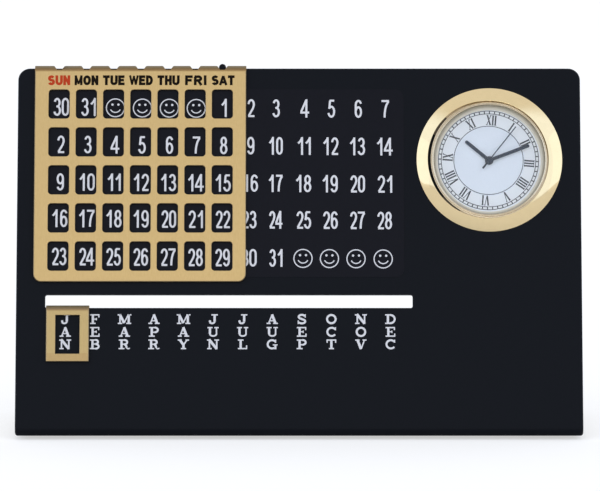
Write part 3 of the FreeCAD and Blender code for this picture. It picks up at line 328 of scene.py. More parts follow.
def with_soft_edges(node_name, body, width):
    """A copy of a solid whose sharp edges are rounded by the width in mm."""
    source = frame["nodes"][node_name]
    piece = source.copy()
    piece.data = source.data.copy()
    piece.name = node_name + "_dressed"
    del piece["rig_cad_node"]
    bpy.context.scene.collection.objects.link(piece)
    if piece.data.has_custom_normals:
        with bpy.context.temp_override(active_object=piece, object=piece, selected_objects=[piece]):
            bpy.ops.mesh.customdata_custom_splitnormals_clear()
    weld = piece.modifiers.new("weld", "WELD")
    weld.merge_threshold = MERGE_WITHIN
    bevel = piece.modifiers.new("rolled_edge", "BEVEL")
    bevel.width = width * MM
    bevel.segments = 2
    bevel.limit_method = "ANGLE"
    bevel.angle_limit = SHARP
    bevel.harden_normals = True
    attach(piece, body)
    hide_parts(node_name)
    return piece


def brass(name, shade, roughness=0.40):
    """Satin sheet brass of one shade, with its grain along the sheet."""
    return finish(name, shade, tuple(LIGHTER * part for part in shade), roughness, **SHEET)


def shade_bands(piece, rim, bend_from, bands):
    """Rolls the front edges up to the bend and gives them painted shade; each band's brass,
    mostly painted shade of the bend, starts at its height, in mm.
    """
    shades = [brass("%s_band_%d" % (piece.name, order), shade)
              for order, (_, shade) in enumerate(bands)]
    for material in (brass(piece.name + "_rim", rim), *shades):
        piece.data.materials.append(material)
    bevel = piece.modifiers["rolled_edge"]
    bevel.material, bevel.limit_method, bevel.use_clamp_overlap = 1, "WEIGHT", False
    solid = bmesh.new()
    solid.from_mesh(piece.data)
    bmesh.ops.remove_doubles(solid, verts=solid.verts, dist=MERGE_WITHIN)
    bmesh.ops.dissolve_limit(solid, angle_limit=FLAT, verts=solid.verts, edges=solid.edges)
    for height, _ in bands:
        bmesh.ops.bisect_plane(solid, geom=[*solid.verts, *solid.edges, *solid.faces],
                               plane_co=FACE_ORIGIN + UP * height * MM, plane_no=UP)
    for face in solid.faces:
        place = np.array(face.calc_center_median()) - FACE_ORIGIN
        passed = sum(place @ UP > height * MM for height, _ in bands)
        if passed and place @ OUT > BEND_ENDS * MM:
            face.material_index = passed + 1
    weight = solid.edges.layers.float.new("bevel_weight_edge")
    corners = np.array([corner.co for corner in solid.verts]) - FACE_ORIGIN
    left, right, bottom = (corners @ ACROSS).min(), (corners @ ACROSS).max(), (corners @ UP).min()
    rolled = 0
    for edge in solid.edges:
        ends = np.array([corner.co for corner in edge.verts]) - FACE_ORIGIN
        at_front = (ends @ OUT).min() > (PLATE_LEVEL - NEAR) * MM
        below_bend = (ends @ UP).max() < (bend_from + NEAR) * MM
        if at_front and below_bend and edge.calc_face_angle(0.0) > SHARP:
            side = ends @ ACROSS
            inside = np.min([side - left, right - side, ends @ UP - bottom], axis=0)
            edge[weight] = 1.0 if inside.max() < OUTER_WITHIN * MM else WINDOW_SHARE
            rolled += 1
    solid.to_mesh(piece.data)
    solid.free()
    print(piece.name, "in", len(bands), "bands,", rolled, "rolled edges")


SATIN_PLASTIC = finish("satin_black_plastic", (0.036, 0.036, 0.040), (0.044, 0.044, 0.048), 0.32,
                       grain=1800.0, relief=4e-6)
softened = {}
for node_name, body, slot, width in (
        ("calendar_plate", "calendar", "gold_sheet", 0.32),
        ("month_frame", "month", "gold_sheet", 0.28),
        ("hour_hand", "hour", "hand_slate", 0.06), ("minute_hand", "minute", "hand_slate", 0.06),
        ("second_hand", "second", "hand_slate", 0.04),
        ("setting_knob", "setting", "black_plastic", 0.12),
        ("battery_cover", "hatch", "black_plastic", 0.12)):
    softened[node_name] = with_soft_edges(node_name, body, width)
    if slot == "black_plastic":
        softened[node_name].data.materials[0] = SATIN_PLASTIC
    print(node_name, "has edges rolled by", width, "mm")

# %% Painted shade on the rolled brass
PLATE_LEVEL, NEAR = 1.3, 0.02
BEND_ENDS, OUTER_WITHIN, WINDOW_SHARE = -0.7, 1.2, 0.4
FRAME_BRASS = (0.400, 0.288, 0.128)
softened["month_frame"].data.materials[0] = brass("month_frame_brass", FRAME_BRASS, 0.42)
# The plate's rolled edges and all its bands are painted shade of the fold and the cut edges.
shade_bands(softened["calendar_plate"], (0.270, 0.196, 0.102), 128.80, (
    (128.50, (0.385, 0.255, 0.108)), (128.80, (0.250, 0.155, 0.060)),
    (129.15, (0.205, 0.130, 0.062)), (129.75, (0.210, 0.162, 0.096))))
# The frame's rolled edges and its bands from 43.35 mm up are painted shade of the fold; below 28.55
# mm the brass is a little darker and more orange, between them it is the frame's own brass.
shade_bands(softened["month_frame"], (0.300, 0.225, 0.125), 43.75, (
    (0.0, (0.372, 0.254, 0.112)), (28.55, FRAME_BRASS), (43.35, (0.325, 0.225, 0.100)),
    (43.75, (0.213, 0.141, 0.071)), (44.10, (0.180, 0.128, 0.070)), (44.80, (0.215, 0.178, 0.106))))

# %% [markdown]
# ## Printing with strokes
# Printed figures could be Blender text, but a font belongs to somebody and its outlines are heavy.
# A sign painter's way is lighter: a figure is a few strokes, and a stroke is a line with a width.
# Straight runs and parts of ellipses are enough for every figure on this clock.

# %% Runs, paths and the two edges of a stroke
ARC_STEP, SAME_POINT = 9.0, 1e-4


def line(*points):
    """The corner points of a straight-sided run."""
    return np.array(points, float)


def arc(across, up, wide, high, start, end):
    """Points = centre + (wide cos a, high sin a), with a from start to end in degrees."""
    angle = np.radians(np.linspace(start, end, max(4, round(abs(end - start) / ARC_STEP))))
    return np.stack([across + wide * np.cos(angle), up + high * np.sin(angle)], axis=1)


def oval(across, up, wide, high):
    """A whole ellipse, without repeating its first point."""
    return arc(across, up, wide, high, 0, 360)[:-1]


def path(*runs):
    """Runs joined end to end, without the points that fall on one another."""
    points = np.concatenate(runs)
    kept = np.append(True, np.linalg.norm(np.diff(points, axis=0), axis=1) > SAME_POINT)
    return points[kept]


def ring(radius, across=0.0, up=0.0, points=48):
    """A circle of so many points, without repeating the first."""
    angle = np.linspace(0.0, 2 * np.pi, points, endpoint=False)
    return np.stack([across + radius * np.cos(angle), up + radius * np.sin(angle)], axis=1)


SHARPEST = 0.6


def stroke_edges(points, width, closed):
    """Left and right edge: point +- half the width along the normal, longer at a bend."""
    ahead = np.roll(points, -1, axis=0) - points
    if not closed:
        ahead[-1] = ahead[-2]
    ahead /= np.linalg.norm(ahead, axis=1, keepdims=True)
    behind = np.roll(ahead, 1, axis=0)
    if not closed:
        behind[0] = ahead[0]
    normal = np.stack([-ahead[:, 1], ahead[:, 0]], axis=1)
    middle = normal + np.stack([-behind[:, 1], behind[:, 0]], axis=1)
    middle /= np.linalg.norm(middle, axis=1, keepdims=True)
    longer = 1.0 / np.clip(np.sum(middle * normal, axis=1, keepdims=True), SHARPEST, 1.0)
    shift = middle * longer * width / 2
    return points + shift, points - shift


print("an arc of 90 degrees has", len(arc(0, 0, 1, 1, 0, 90)), "points")

# %% A printed film from many strokes
FILM_HEIGHT, FILM_SINK, FILM_LIFT, FILM_LAYERS = 0.030, 0.012, 0.003, 6


def film(name, strokes, on_board, level, body, material):
    """Each stroke is a thin closed slab on a board; later strokes lie a hair higher."""
    places, faces, start = [], [], 0
    for order, (points, width, closed) in enumerate(strokes):
        left, right = stroke_edges(points, width, closed)
        count = len(points)
        high = level + FILM_HEIGHT + FILM_LIFT * (order % FILM_LAYERS)
        low = level - FILM_SINK
        flat = np.stack([left, right, right, left], axis=1).reshape(-1, 2)
        out = np.tile([high, high, low, low], count)
        places.append(on_board(flat[:, 0], flat[:, 1], out))
        first = np.arange(count if closed else count - 1)[:, None] * 4 + np.arange(4)
        second = np.roll(first, -1, axis=1)
        quads = np.stack([first, second, second + 4, first + 4], axis=2) % (4 * count)
        faces.append(quads.reshape(-1, 4) + start)
        if not closed:
            last = 4 * (count - 1)
            faces.append(np.array([[0, 3, 2, 1], [last, last + 1, last + 2, last + 3]]) + start)
        start += 4 * count
    return link_piece(name, np.concatenate(places), np.concatenate(faces), material, body,
                      smooth=False)


def set_out(drawing, across=0.0, up=0.0, wide=1.0, high=1.0, stroke=1.0, turned=0.0):
    """A drawing stretched to wide x high, its strokes too, then turned in degrees and moved."""
    angle = math.radians(turned)
    turning = np.array([[math.cos(angle), math.sin(angle)], [-math.sin(angle), math.cos(angle)]])
    return [((points * (wide, high)) @ turning + (across, up), share * stroke, closed)
            for points, share, closed in drawing]


def boxed(drawing, left, middle, wide, high, stroke):
    """A drawing whose strokes fill a box with all their width, from its left edge."""
    return set_out(drawing, left + stroke / 2, middle - (high - stroke) / 2, wide - stroke,
                   high - stroke, stroke)


def opened(*runs, share=1.0):
    """Strokes with two ends, as wide as a share of the drawing's full stroke."""
    return [(run, share, False) for run in runs]


def looped(*runs):
    """Full strokes that run back into their own beginning."""
    return [(run, 1.0, True) for run in runs]


print("strokes are ready")

# %% [markdown]
# ## Inks
# Screen-printed ink is matte and a touch uneven. The dates and months are a cool white, the
# weekdays black, Sunday red, and the numerals of the dial a dark slate.

# %% Inks
WHITE_INK = finish("cool_white_ink", (0.580, 0.572, 0.586), (0.610, 0.600, 0.614), 0.55,
                   specular=0.1, grain=1600.0, relief=2e-6)
RED_INK = finish("red_ink", (0.370, 0.036, 0.009), (0.405, 0.042, 0.012), 0.5, specular=0.05,
                 grain=1600.0, relief=2e-6)
BLACK_INK = finish("black_ink", (0.005, 0.003, 0.001), (0.009, 0.005, 0.002), 0.5, specular=0.05,
                   grain=1600.0, relief=2e-6)
SLATE_INK = finish("slate_ink", (0.014, 0.021, 0.032), (0.018, 0.026, 0.038), 0.5, specular=0.05,
                   grain=1600.0, relief=1e-6)
print("four inks")

# %% [markdown]
# ## The figures of the dates
# The dates are condensed bold figures. Each is drawn on a unit square, where 0 and 1 are the middle
# of its outermost strokes, and then stretched to its real width and height. A print is never quite
# regular: the sheet hangs a little askew, and every date has its small offset from the grid.

# %% Ten figures and a smiling face
FIGURES = {
    "0": looped(path(arc(.5, .74, .5, .26, 0, 180), arc(.5, .26, .5, .26, 180, 360))),
    "1": opened(line((.72, -.07), (.72, 1.07)), line((.74, 1.02), (.42, .82), (.02, .67))),
    "2": opened(path(arc(.49, .73, .49, .27, 175, -22), line((.80, .48), (.04, .02))),
                line((-.05, .0), (1.10, .0))),
    "3": opened(arc(.46, .76, .44, .24, 165, -75), arc(.46, .265, .52, .265, 84, -165),
                line((.32, .525), (.56, .525))),
    "4": opened(line((.76, -.07), (.76, 1.07)), line((.72, 1.02), (-.20, .30)),
                line((-.36, .245), (1.26, .245))),
    "5": opened(line((.16, 1.0), (1.0, 1.0)), line((.22, 1.0), (.10, .50)),
                arc(.46, .31, .53, .31, 142, -165)),
    "6": looped(oval(.51, .30, .49, .30))
         + opened(path(arc(.52, .72, .50, .28, 22, 180), line((.02, .72), (.02, .30)))),
    "7": opened(line((-.18, 1.0), (1.20, 1.0)), arc(1.50, .02, 1.12, 1.0, 110, 183)),
    "8": looped(oval(.5, .765, .42, .235), oval(.5, .265, .5, .265)),
}
FIGURES["9"] = [(1.0 - points, share, closed) for points, share, closed in FIGURES["6"]]
FIGURE_WIDE, FIGURE_STROKE, FIGURE_ADVANCE = 2.60, 0.70, 2.82
FIGURES_HIGH = (6.42, 6.26, 6.12, 6.22, 6.22)
ONE_FIRST, ONE_LAST, ONE_BESIDE_ONE = -0.14, 0.19, 0.10
TWENTIES_SHARE, TIGHT_SHARE = 0.95, 0.90
FACE_RADIUS, FACE_LINE, EYE_DOT, EYE_RING = 3.37, 0.37, 0.115, 0.062


def figure_strokes(text, across, up, high, tight):
    """Figures side by side around the middle of their cell; the narrow 1 has its own offsets."""
    share = TWENTIES_SHARE if text[0] == "2" and text != "21" else 1.0
    share = share * (TIGHT_SHARE if tight else 1.0) if len(text) > 1 else 1.0
    wide, advance, strokes = FIGURE_WIDE * share, FIGURE_ADVANCE * share, []
    left = across - ((len(text) - 1) * advance + wide) / 2
    nudges = (ONE_BESIDE_ONE, 0.0) if text == "11" else (ONE_FIRST, ONE_LAST)[-len(text):]
    for figure, nudge in zip(text, nudges):
        strokes += boxed(FIGURES[figure], left + (nudge if figure == "1" else 0.0), up, wide, high,
                         FIGURE_STROKE)
        left += advance
    return strokes


def smiling_face(across, up):
    """A circle, two dots and an arc: the common sign for an empty day."""
    drawing = [(ring(1.0 - FACE_LINE / 2 / FACE_RADIUS), FACE_LINE, True),
               (arc(.0, .07, .56, .56, 207, 333), FACE_LINE, False)]
    for side in (-.31, .31):
        drawing.append((ring(EYE_RING, side, .34, points=16), EYE_DOT * FACE_RADIUS, True))
    return set_out(drawing, across, up, FACE_RADIUS, FACE_RADIUS)


print("figures:", " ".join(sorted(FIGURES)))

# %% The grid of dates
COLUMN_PITCH, FIRST_COLUMN, MIDDLE_COLUMN, TIGHT_COLUMN = 9.48, -83.73, 6, 8
ROWS_UP = (115.70, 102.28, 88.9, 75.93, 62.40)
SHEET_ASKEW = math.radians(0.40)
LABEL_LEVEL = 0.12
EMPTY = "smile"


def days(first, last):
    """The dates from the first to the last, as text."""
    return [str(day) for day in range(first, last + 1)]


DATES = (days(30, 31) + [EMPTY] * 4 + days(1, 7), days(2, 14), days(9, 21), days(16, 28),
         days(23, 31) + [EMPTY] * 4)
FACES_LOWER = (0.22, 0.0, 0.0, 0.0, 0.10)
OFF_GRID_STEP = 0.01
OFF_GRID = ((-12, 16, -6, -6, -6, -6, 24, 34, -32, 29, 15, 10, 9),
            (-4, -5, 4, 3, 17, 14, 26, 30, -37, 24, -1, -12, -9),
            (-8, -19, -1, -9, -2, 0, 19, 24, -35, -2, -17, 1, 28),
            (-9, -15, -7, -2, 23, 35, 28, 0, -22, 17, 2, 0, 7),
            (-7, 1, 1, 5, 14, 25, 25, 0, 10, -4, -26, -43, -40))
date_strokes = []
for row, row_up, high, lower, off_grid in zip(DATES, ROWS_UP, FIGURES_HIGH, FACES_LOWER, OFF_GRID):
    for column, text in enumerate(row):
        across = (FIRST_COLUMN + column * COLUMN_PITCH + off_grid[column] * OFF_GRID_STEP
                  + (row_up - ROWS_UP[2]) * SHEET_ASKEW)
        up = row_up - (column - MIDDLE_COLUMN) * COLUMN_PITCH * SHEET_ASKEW
        date_strokes += (smiling_face(across, up - lower) if text == EMPTY else
                         figure_strokes(text, across, up, high, column == TIGHT_COLUMN))
film("date_figures", date_strokes, on_face, LABEL_LEVEL, "stand", WHITE_INK)

# %% [markdown]
# ## The weekdays
# The weekdays are heavy letters on the brass plate, one word above each column of windows. They
# slide with the plate, so they ride on its body. The diagonals of M, N and W are thinner.

# %% Fourteen heavy letters
def stem(across):
    """The upright of a letter, as high as the whole letter."""
    return line((across, -.18), (across, 1.18))


HEAVY = {
    "S": (2.50, opened(path(arc(.5, .76, .46, .24, 22, 262), arc(.5, .26, .5, .26, 82, -158)))),
    "U": (2.60, opened(path(line((0, 1.18), (0, .32)), arc(.5, .32, .5, .32, 180, 360),
                            line((1, .32), (1, 1.18))))),
    "N": (2.45, opened(stem(0)) + opened(line((0, 1.06), (1, -.06)), share=.88) + opened(stem(1))),
    "M": (2.90, opened(stem(0), share=.88)
          + opened(line((.02, 1.12), (.5, -.04)), line((.5, -.04), (.98, 1.12)), share=.66)
          + opened(stem(1), share=.88)),
    "O": (2.75, looped(oval(.5, .5, .5, .5))),
    "T": (2.50, opened(line((-.27, 1), (1.27, 1)), line((.5, -.18), (.5, 1)))),
    "E": (2.30, opened(line((1.30, 1), (0, 1), (0, 0), (1.32, 0)), line((0, .52), (1.15, .52)))),
    "W": (3.22, opened(line((-.10, 1.18), (.22, -.12)), share=.76)
          + opened(line((.22, -.12), (.5, 1.12)), line((.5, 1.12), (.78, -.12)), share=.66)
          + opened(line((.78, -.12), (1.10, 1.18)), share=.76)),
    "D": (2.45, looped(path(line((0, 0), (0, 1), (.36, 1)), arc(.36, .5, .64, .5, 90, -90)))),
    "H": (2.45, opened(stem(0), line((0, .5), (1, .5)), stem(1))),
    "F": (2.65, opened(line((1.30, 1), (0, 1), (0, -.18)), line((0, .5), (1.10, .5)))),
    "R": (3.03, opened(line((0, -.18), (0, 1)),
                       path(line((-.12, 1), (.5, 1)), arc(.5, .74, .46, .26, 90, -90),
                            line((.5, .48), (0, .48))),
                       line((.48, .5), (1.04, -.18)))),
    "I": (1.00, opened(stem(.5))),
    "A": (2.85, opened(line((-.08, -.18), (.5, 1.10)), line((.5, 1.10), (1.08, -.18)),
                       line((.16, .22), (.84, .22)), share=.9)),
}
HEAVY_HIGH, HEAVY_STROKE = 3.54, 0.96
GAP, WIDER_GAP = 0.16, {"FRI": 0.44}
WEEKDAYS = "SUN MON TUE WED THU FRI SAT".split()
WEEKDAY_UP, FIRST_WORD, WORD_PITCH = 125.39, -84.50, 9.63


def heavy_word(word, across, up):
    """Letters of their own widths, a small gap apart, centred on the window below."""
    gap = WIDER_GAP.get(word, GAP)
    wide = sum(HEAVY[letter][0] for letter in word) + gap * (len(word) - 1)
    left, strokes = across - wide / 2, []
    for letter in word:
        letter_wide, drawing = HEAVY[letter]
        strokes += boxed(drawing, left, up, letter_wide, HEAVY_HIGH, HEAVY_STROKE)
        left += letter_wide + gap
    return strokes


weekday_strokes = [heavy_word(word, FIRST_WORD + day * WORD_PITCH, WEEKDAY_UP)
                   for day, word in enumerate(WEEKDAYS)]
film("weekday_sunday", weekday_strokes[0], on_face, PLATE_LEVEL, "calendar", RED_INK)
film("weekdays_printed", sum(weekday_strokes[1:], []), on_face, PLATE_LEVEL, "calendar",
     BLACK_INK)

# %% [markdown]
# ## The months
# The months stand upright, three letters below one another, in a bold letter with slab feet. Here a
# stem, a thin stroke and a foot have different widths, so each stroke of the drawing names its own.
# The unit is the height of a capital.

# %% Letters with slab feet
STEM, THIN, FOOT = 0.23, 0.13, 0.13
LOW, HIGH = FOOT / 2, 1 - FOOT / 2


def slant(width, *points):
    """A straight-sided stroke of its own width."""
    return line(*points), width, False


def post(across, low=0.0, high=1.0, width=STEM):
    """An upright stroke."""
    return slant(width, (across, low), (across, high))


def bar(left, right, up, width=FOOT):
    """A level stroke."""
    return slant(width, (left, up), (right, up))


def foot(across, up, half):
    """A slab foot or head: a short bar across the end of a stem."""
    return bar(across - half, across + half, HIGH if up else LOW)


def bowl(across, up, wide, high, start, end, width=0.19):
    """A part of an ellipse."""
    return arc(across, up, wide, high, start, end), width, False


SLAB = {
    "A": (1.14, [slant(THIN, (.20, .05), (.56, .96)), slant(.25, (.54, .98), (.90, .05)),
                 bar(.30, .80, .33, .11), foot(.20, 0, .20), foot(.90, 0, .24)]),
    "B": (1.02, [post(.28), bar(.0, .60, HIGH), bar(.0, .62, LOW), bar(.28, .60, .53),
                 bowl(.60, .745, .24, .20, 95, -95), bowl(.62, .285, .29, .22, 95, -95)]),
    "C": (1.02, [bowl(.54, .5, .44, .42, 38, 322), post(.92, .66, .98, .11)]),
    "D": (1.08, [post(.28), bar(.0, .56, HIGH), bar(.0, .56, LOW),
                 bowl(.50, .5, .47, .42, 95, -95)]),
    "E": (1.00, [post(.28), bar(.0, .93, HIGH), bar(.0, .95, LOW), bar(.28, .64, .51, .11),
                 post(.89, .68, 1.0, .12), post(.92, .0, .33, .12), post(.64, .38, .64, .10)]),
    "F": (0.98, [post(.28), bar(.0, .93, HIGH), foot(.28, 0, .28), bar(.28, .64, .50, .11),
                 post(.89, .68, 1.0, .12), post(.64, .37, .63, .10)]),
    "G": (1.12, [bowl(.54, .5, .44, .42, 38, 300), post(.90, .66, .98, .11),
                 post(.88, .0, .44, .20), bar(.62, 1.10, .44, .12)]),
    "J": (0.98, [post(.64, .28), bowl(.38, .27, .26, .20, 0, -150, .18), foot(.64, 1, .32),
                 (ring(.06, .17, .27, points=14), .12, True)]),
    "L": (0.96, [post(.28), foot(.28, 1, .28), bar(.0, .90, LOW), post(.88, .0, .40, .12)]),
    "M": (1.34, [post(.22, width=.14), post(1.10), slant(.25, (.20, .98), (.64, .10)),
                 slant(.12, (.64, .10), (1.06, .98)), foot(.22, 0, .22), foot(1.10, 0, .25),
                 foot(.16, 1, .18), foot(1.16, 1, .20)]),
    "N": (1.18, [post(.22, width=.15), post(.96, width=.15), slant(.26, (.18, 1.0), (.96, .04)),
                 foot(.22, 0, .22), foot(.15, 1, .17), foot(.96, 1, .23)]),
    "O": (1.08, [(oval(.54, .5, .43, .42), .20, True)]),
    "P": (1.00, [post(.28), bar(.0, .62, HIGH), bar(.28, .62, .46), foot(.28, 0, .30),
                 bowl(.60, .70, .29, .235, 95, -95)]),
    "R": (1.12, [post(.28), bar(.0, .62, HIGH), bar(.28, .60, .51), foot(.28, 0, .30),
                 bowl(.58, .72, .27, .215, 95, -95), slant(.2, (.60, .50), (.74, .36), (.80, .16)),
                 bowl(.95, .16, .14, .11, 180, 350, .12)]),
    "S": (0.92, [(path(arc(.46, .735, .31, .20, 20, 255), arc(.46, .27, .34, .205, 78, -160)), .20,
                  False), post(.80, .66, 1.0, .11), post(.10, .0, .36, .11)]),
    "T": (1.08, [post(.54), bar(.06, 1.02, HIGH), foot(.54, 0, .26), post(.11, .66, 1.0, .12),
                 post(.97, .66, 1.0, .12)]),
    "U": (1.16, [post(.26, .30), post(.92, .30, 1.0, .14), foot(.26, 1, .25), foot(.92, 1, .22),
                 (path(line((.26, .34)), arc(.59, .30, .33, .22, 180, 360), line((.92, .34))), .16,
                  False)]),
    "V": (1.12, [slant(.25, (.20, .97), (.56, .02)), slant(THIN, (.58, .02), (.92, .97)),
                 foot(.20, 1, .22), foot(.92, 1, .20)]),
    "Y": (1.12, [slant(.24, (.18, .97), (.56, .44)), slant(.14, (.94, .97), (.56, .44)),
                 post(.56, .0, .48), foot(.18, 1, .20), foot(.94, 1, .18), foot(.56, 0, .26)]),
}
MONTHS = "JAN FEB MAR APR MAY JUN JUL AUG SEP OCT NOV DEC".split()
MONTH_FIRST, MONTH_PITCH, MONTH_HIGH = -81.65, 10.325, 3.45
LETTERS_UP = (40.66, 36.16, 31.78)
month_strokes = []
for month, word in enumerate(MONTHS):
    for letter, letter_up in zip(word, LETTERS_UP):
        wide, drawing = SLAB[letter]
        month_strokes += set_out(drawing, MONTH_FIRST + month * MONTH_PITCH - wide * MONTH_HIGH / 2,
                                 letter_up - MONTH_HIGH / 2, MONTH_HIGH, MONTH_HIGH, MONTH_HIGH)
film("month_letters", month_strokes, on_face, 0.0, "stand", WHITE_INK)

# %% [markdown]
# ## The dial's print
# A classic dial has a minute track of small blocks between two circles, twelve numerals whose feet
# point to the centre, and a thin ring inside them. A numeral is made of three signs: a thick
# stroke, a V and an X, the last two with one thick and one thin arm and fine serifs.

# %% Numerals
NUMERAL_FOOT, NUMERAL_HIGH = 12.6, 3.5
THICK, FINE = 0.50, 0.22
SIGNS = {
    "I": (0.92, [slant(THICK, (.46, 0), (.46, 1)), bar(.10, .82, .025, FINE),
                 bar(.10, .82, .975, FINE)]),
    "V": (1.95, [slant(THICK, (.36, 1), (.98, 0)), slant(FINE, (1.60, 1), (1.02, 0)),
                 bar(.05, .70, .975, FINE), bar(1.30, 1.90, .975, FINE)]),
    "X": (1.95, [slant(THICK, (.36, 1), (1.56, 0)), slant(FINE, (1.56, 1), (.36, 0)),
                 bar(.05, .70, .975, FINE), bar(1.25, 1.88, .975, FINE),
                 bar(.05, .68, .025, FINE), bar(1.22, 1.88, .025, FINE)]),
}
NUMERALS = "XII I II III IIII V VI VII VIII IX X XI".split()
dial_strokes = []
for hour, numeral in enumerate(NUMERALS):
    left = -sum(SIGNS[sign][0] for sign in numeral) / 2
    for sign in numeral:
        wide, drawing = SIGNS[sign]
        upright = set_out(drawing, left, NUMERAL_FOOT, 1.0, NUMERAL_HIGH)
        dial_strokes += set_out(upright, turned=-360.0 * hour / len(NUMERALS))
        left += wide
print("numerals:", " ".join(NUMERALS))

# %% Minute track and hour ring
TRACK_INSIDE, TRACK_OUTSIDE, TRACK_LINE, MINUTES = 16.60, 17.62, 0.23, 60
BAR_WIDE, BLOCK_WIDE, BLOCK_INSET = 0.36, 1.34, 0.14
DIAL_LEVEL, PRINT_ACROSS, PRINT_UP = -2.0, -0.24, 0.14
for radius in (TRACK_INSIDE, TRACK_OUTSIDE, HOUR_RING_INSIDE):
    dial_strokes.append((ring(radius, points=180), TRACK_LINE, True))
minute_bar = [post(0.0, TRACK_INSIDE, TRACK_OUTSIDE, BAR_WIDE)]
block = [post(0.0, TRACK_INSIDE + BLOCK_INSET, TRACK_OUTSIDE - BLOCK_INSET, BLOCK_WIDE)]
block_strokes = []
for minute in range(MINUTES):
    dial_strokes += set_out(minute_bar, turned=-(minute + 0.5) * 360.0 / MINUTES)
    block_strokes += set_out(block, turned=-minute * 360.0 / MINUTES)
dial_strokes, block_strokes = (set_out(strokes, PRINT_ACROSS, PRINT_UP)
                               for strokes in (dial_strokes, block_strokes))
BRIGHT_INK = finish("bright_white_ink", (0.84, 0.85, 0.85), (0.88, 0.88, 0.88), 0.5, specular=0.3,
                    grain=1600.0, relief=1e-6)
for name, strokes, ink in (("dial_numerals_and_track", dial_strokes, SLATE_INK),
                           ("dial_track_blocks", block_strokes, BRIGHT_INK)):
    film(name, strokes, on_clock, DIAL_LEVEL, "insert", ink)

# %% [markdown]
# ## The turned bezel
# The gold ring is turned on a lathe, so it is a closed section carried round the clock's axis. The
# section climbs an arched cone, drops into a narrow groove and ends in a bead over the glass. The
# clock sits a little to one side in its ring, so the groove opens on the left and closes at the
# upper right: a smooth bulge of the angle widens or tightens the flange's inner part. The groove is
# painted with its shade: black where it is widest, brown at the ends of the black, and a darker
# gold in the rest.

# %% Section of the ring
def arc_through(first, via, last, count):
    """Points of the circle through three points, from the first over the second to the last."""
    rows = 2 * np.array([np.subtract(via, first), np.subtract(last, via)], float)
    squares = np.sum(np.square([first, via, last]), axis=1)
    centre = np.linalg.solve(rows, np.diff(squares))
    start, end = (math.atan2(*np.subtract(point, centre)[::-1]) for point in (first, last))
    radius = math.dist(first, centre)
    angle = np.linspace(start, end, count)
    return centre + radius * np.stack([np.cos(angle), np.sin(angle)], axis=1)


CURVE_POINTS, MOST_CUT = 4, 0.4


def eased(corners, reach):
    """A closed section whose corners are cut by short quadratic curves of that reach."""
    before = np.roll(corners, 1, axis=0) - corners
    after = np.roll(corners, -1, axis=0) - corners
    back = np.linalg.norm(before, axis=1, keepdims=True)
    forth = np.linalg.norm(after, axis=1, keepdims=True)
    start = (corners + before / back * np.minimum(reach, back * MOST_CUT))[:, None]
    end = (corners + after / forth * np.minimum(reach, forth * MOST_CUT))[:, None]
    t = np.linspace(0.0, 1.0, CURVE_POINTS)[None, :, None]
    curve = (1 - t) ** 2 * start + 2 * t * (1 - t) * corners[:, None] + t ** 2 * end
    return curve.reshape(-1, 2)


FLANGE_INSIDE, GROOVE_FROM, LAND_UP, GROOVE_UP, CORNER_CUT = 21.02, 20.86, 1.38, 1.0, 0.05
section = eased(np.concatenate([
    line((21.05, -4.0), (21.70, -4.0), (21.70, 0.0), (25.58, 0.0)),
    arc_through((25.58, 0.34), (23.38, 1.65), (FLANGE_INSIDE, 2.55), 34),
    line((FLANGE_INSIDE, GROOVE_UP), (GROOVE_FROM, GROOVE_UP), (GROOVE_FROM, LAND_UP),
         (20.48, LAND_UP), (20.40, 1.22), (20.30, 1.46), (20.05, 1.46), (19.95, 1.10),
         (19.62, 1.02), (19.60, 0.56), (21.05, 0.56))]), CORNER_CUT)
print("section of", len(section), "points")

# %% The section carried round the axis
AROUND = 288
WIDER, WIDER_AT, WIDER_SPAN = 0.72, 190.0, 95.0
TIGHTER, TIGHTER_AT, TIGHTER_SPAN = 0.45, 50.0, 100.0
DARK_AT, DARK_SPAN, DARK_BACK, DARK_DOWN = 187.0, 56.0, 0.22, 0.35
FIXED_FROM, GROOVE_TO, GROOVE_LOW, LAND_FROM, LAND_WIDE = 24.6, 21.2, 0.9, 20.45, 0.36
BESIDE_CORNER, TOUCHING = 0.06, 0.01


def bulge(angle, middle, span):
    """cos(pi/2 times the angle's way from the middle over the span), and 0 beyond the span."""
    way = np.abs((angle - math.radians(middle) + np.pi) % (2 * np.pi) - np.pi) / math.radians(span)
    return np.where(way < 1.0, np.cos(way * np.pi / 2), 0.0)[:, None]


angle = np.linspace(0.0, 2 * np.pi, AROUND, endpoint=False)
wider = bulge(angle - DIAL_TURN, WIDER_AT, WIDER_SPAN)
tighter = bulge(angle - DIAL_TURN, TIGHTER_AT, TIGHTER_SPAN)
dark = bulge(angle - DIAL_TURN, DARK_AT, DARK_SPAN)
radius, level = section[None, :, 0], section[None, :, 1]
on_flange = (radius > FLANGE_INSIDE - BESIDE_CORNER) & (level > GROOVE_UP - BESIDE_CORNER)
in_groove = (radius > GROOVE_FROM - BESIDE_CORNER) & (radius < GROOVE_TO) & (level > GROOVE_LOW)
inside_groove = radius < GROOVE_FROM + TOUCHING
on_land = inside_groove & (radius > LAND_FROM) & (level > GROOVE_UP - BESIDE_CORNER)
inwards = np.clip((FIXED_FROM - radius) / (FIXED_FROM - FLANGE_INSIDE), 0.0, 1.0) ** 2
land_moves = on_land * np.clip((radius - LAND_FROM) / LAND_WIDE, 0.0, 1.0)
turned_radius = (radius + on_flange * inwards * (WIDER * wider - TIGHTER * tighter)
                 - land_moves * (DARK_BACK * dark + TIGHTER * tighter))
turned_level = level - (in_groove & (level < GROOVE_UP + BESIDE_CORNER)) * DARK_DOWN * dark
places = on_clock(turned_radius * np.cos(angle)[:, None], turned_radius * np.sin(angle)[:, None],
                  turned_level)
count = len(section)
here = np.arange(AROUND)[:, None] * count + np.arange(count)
beside = np.roll(here, -1, axis=1)
faces = np.stack([here, beside, np.roll(beside, -1, axis=0), np.roll(here, -1, axis=0)], axis=2)
bezel = link_piece("bezel_turned", places, faces.reshape(-1, 4), FINISHES["gold_polished"],
                   "insert")
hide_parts("bezel")
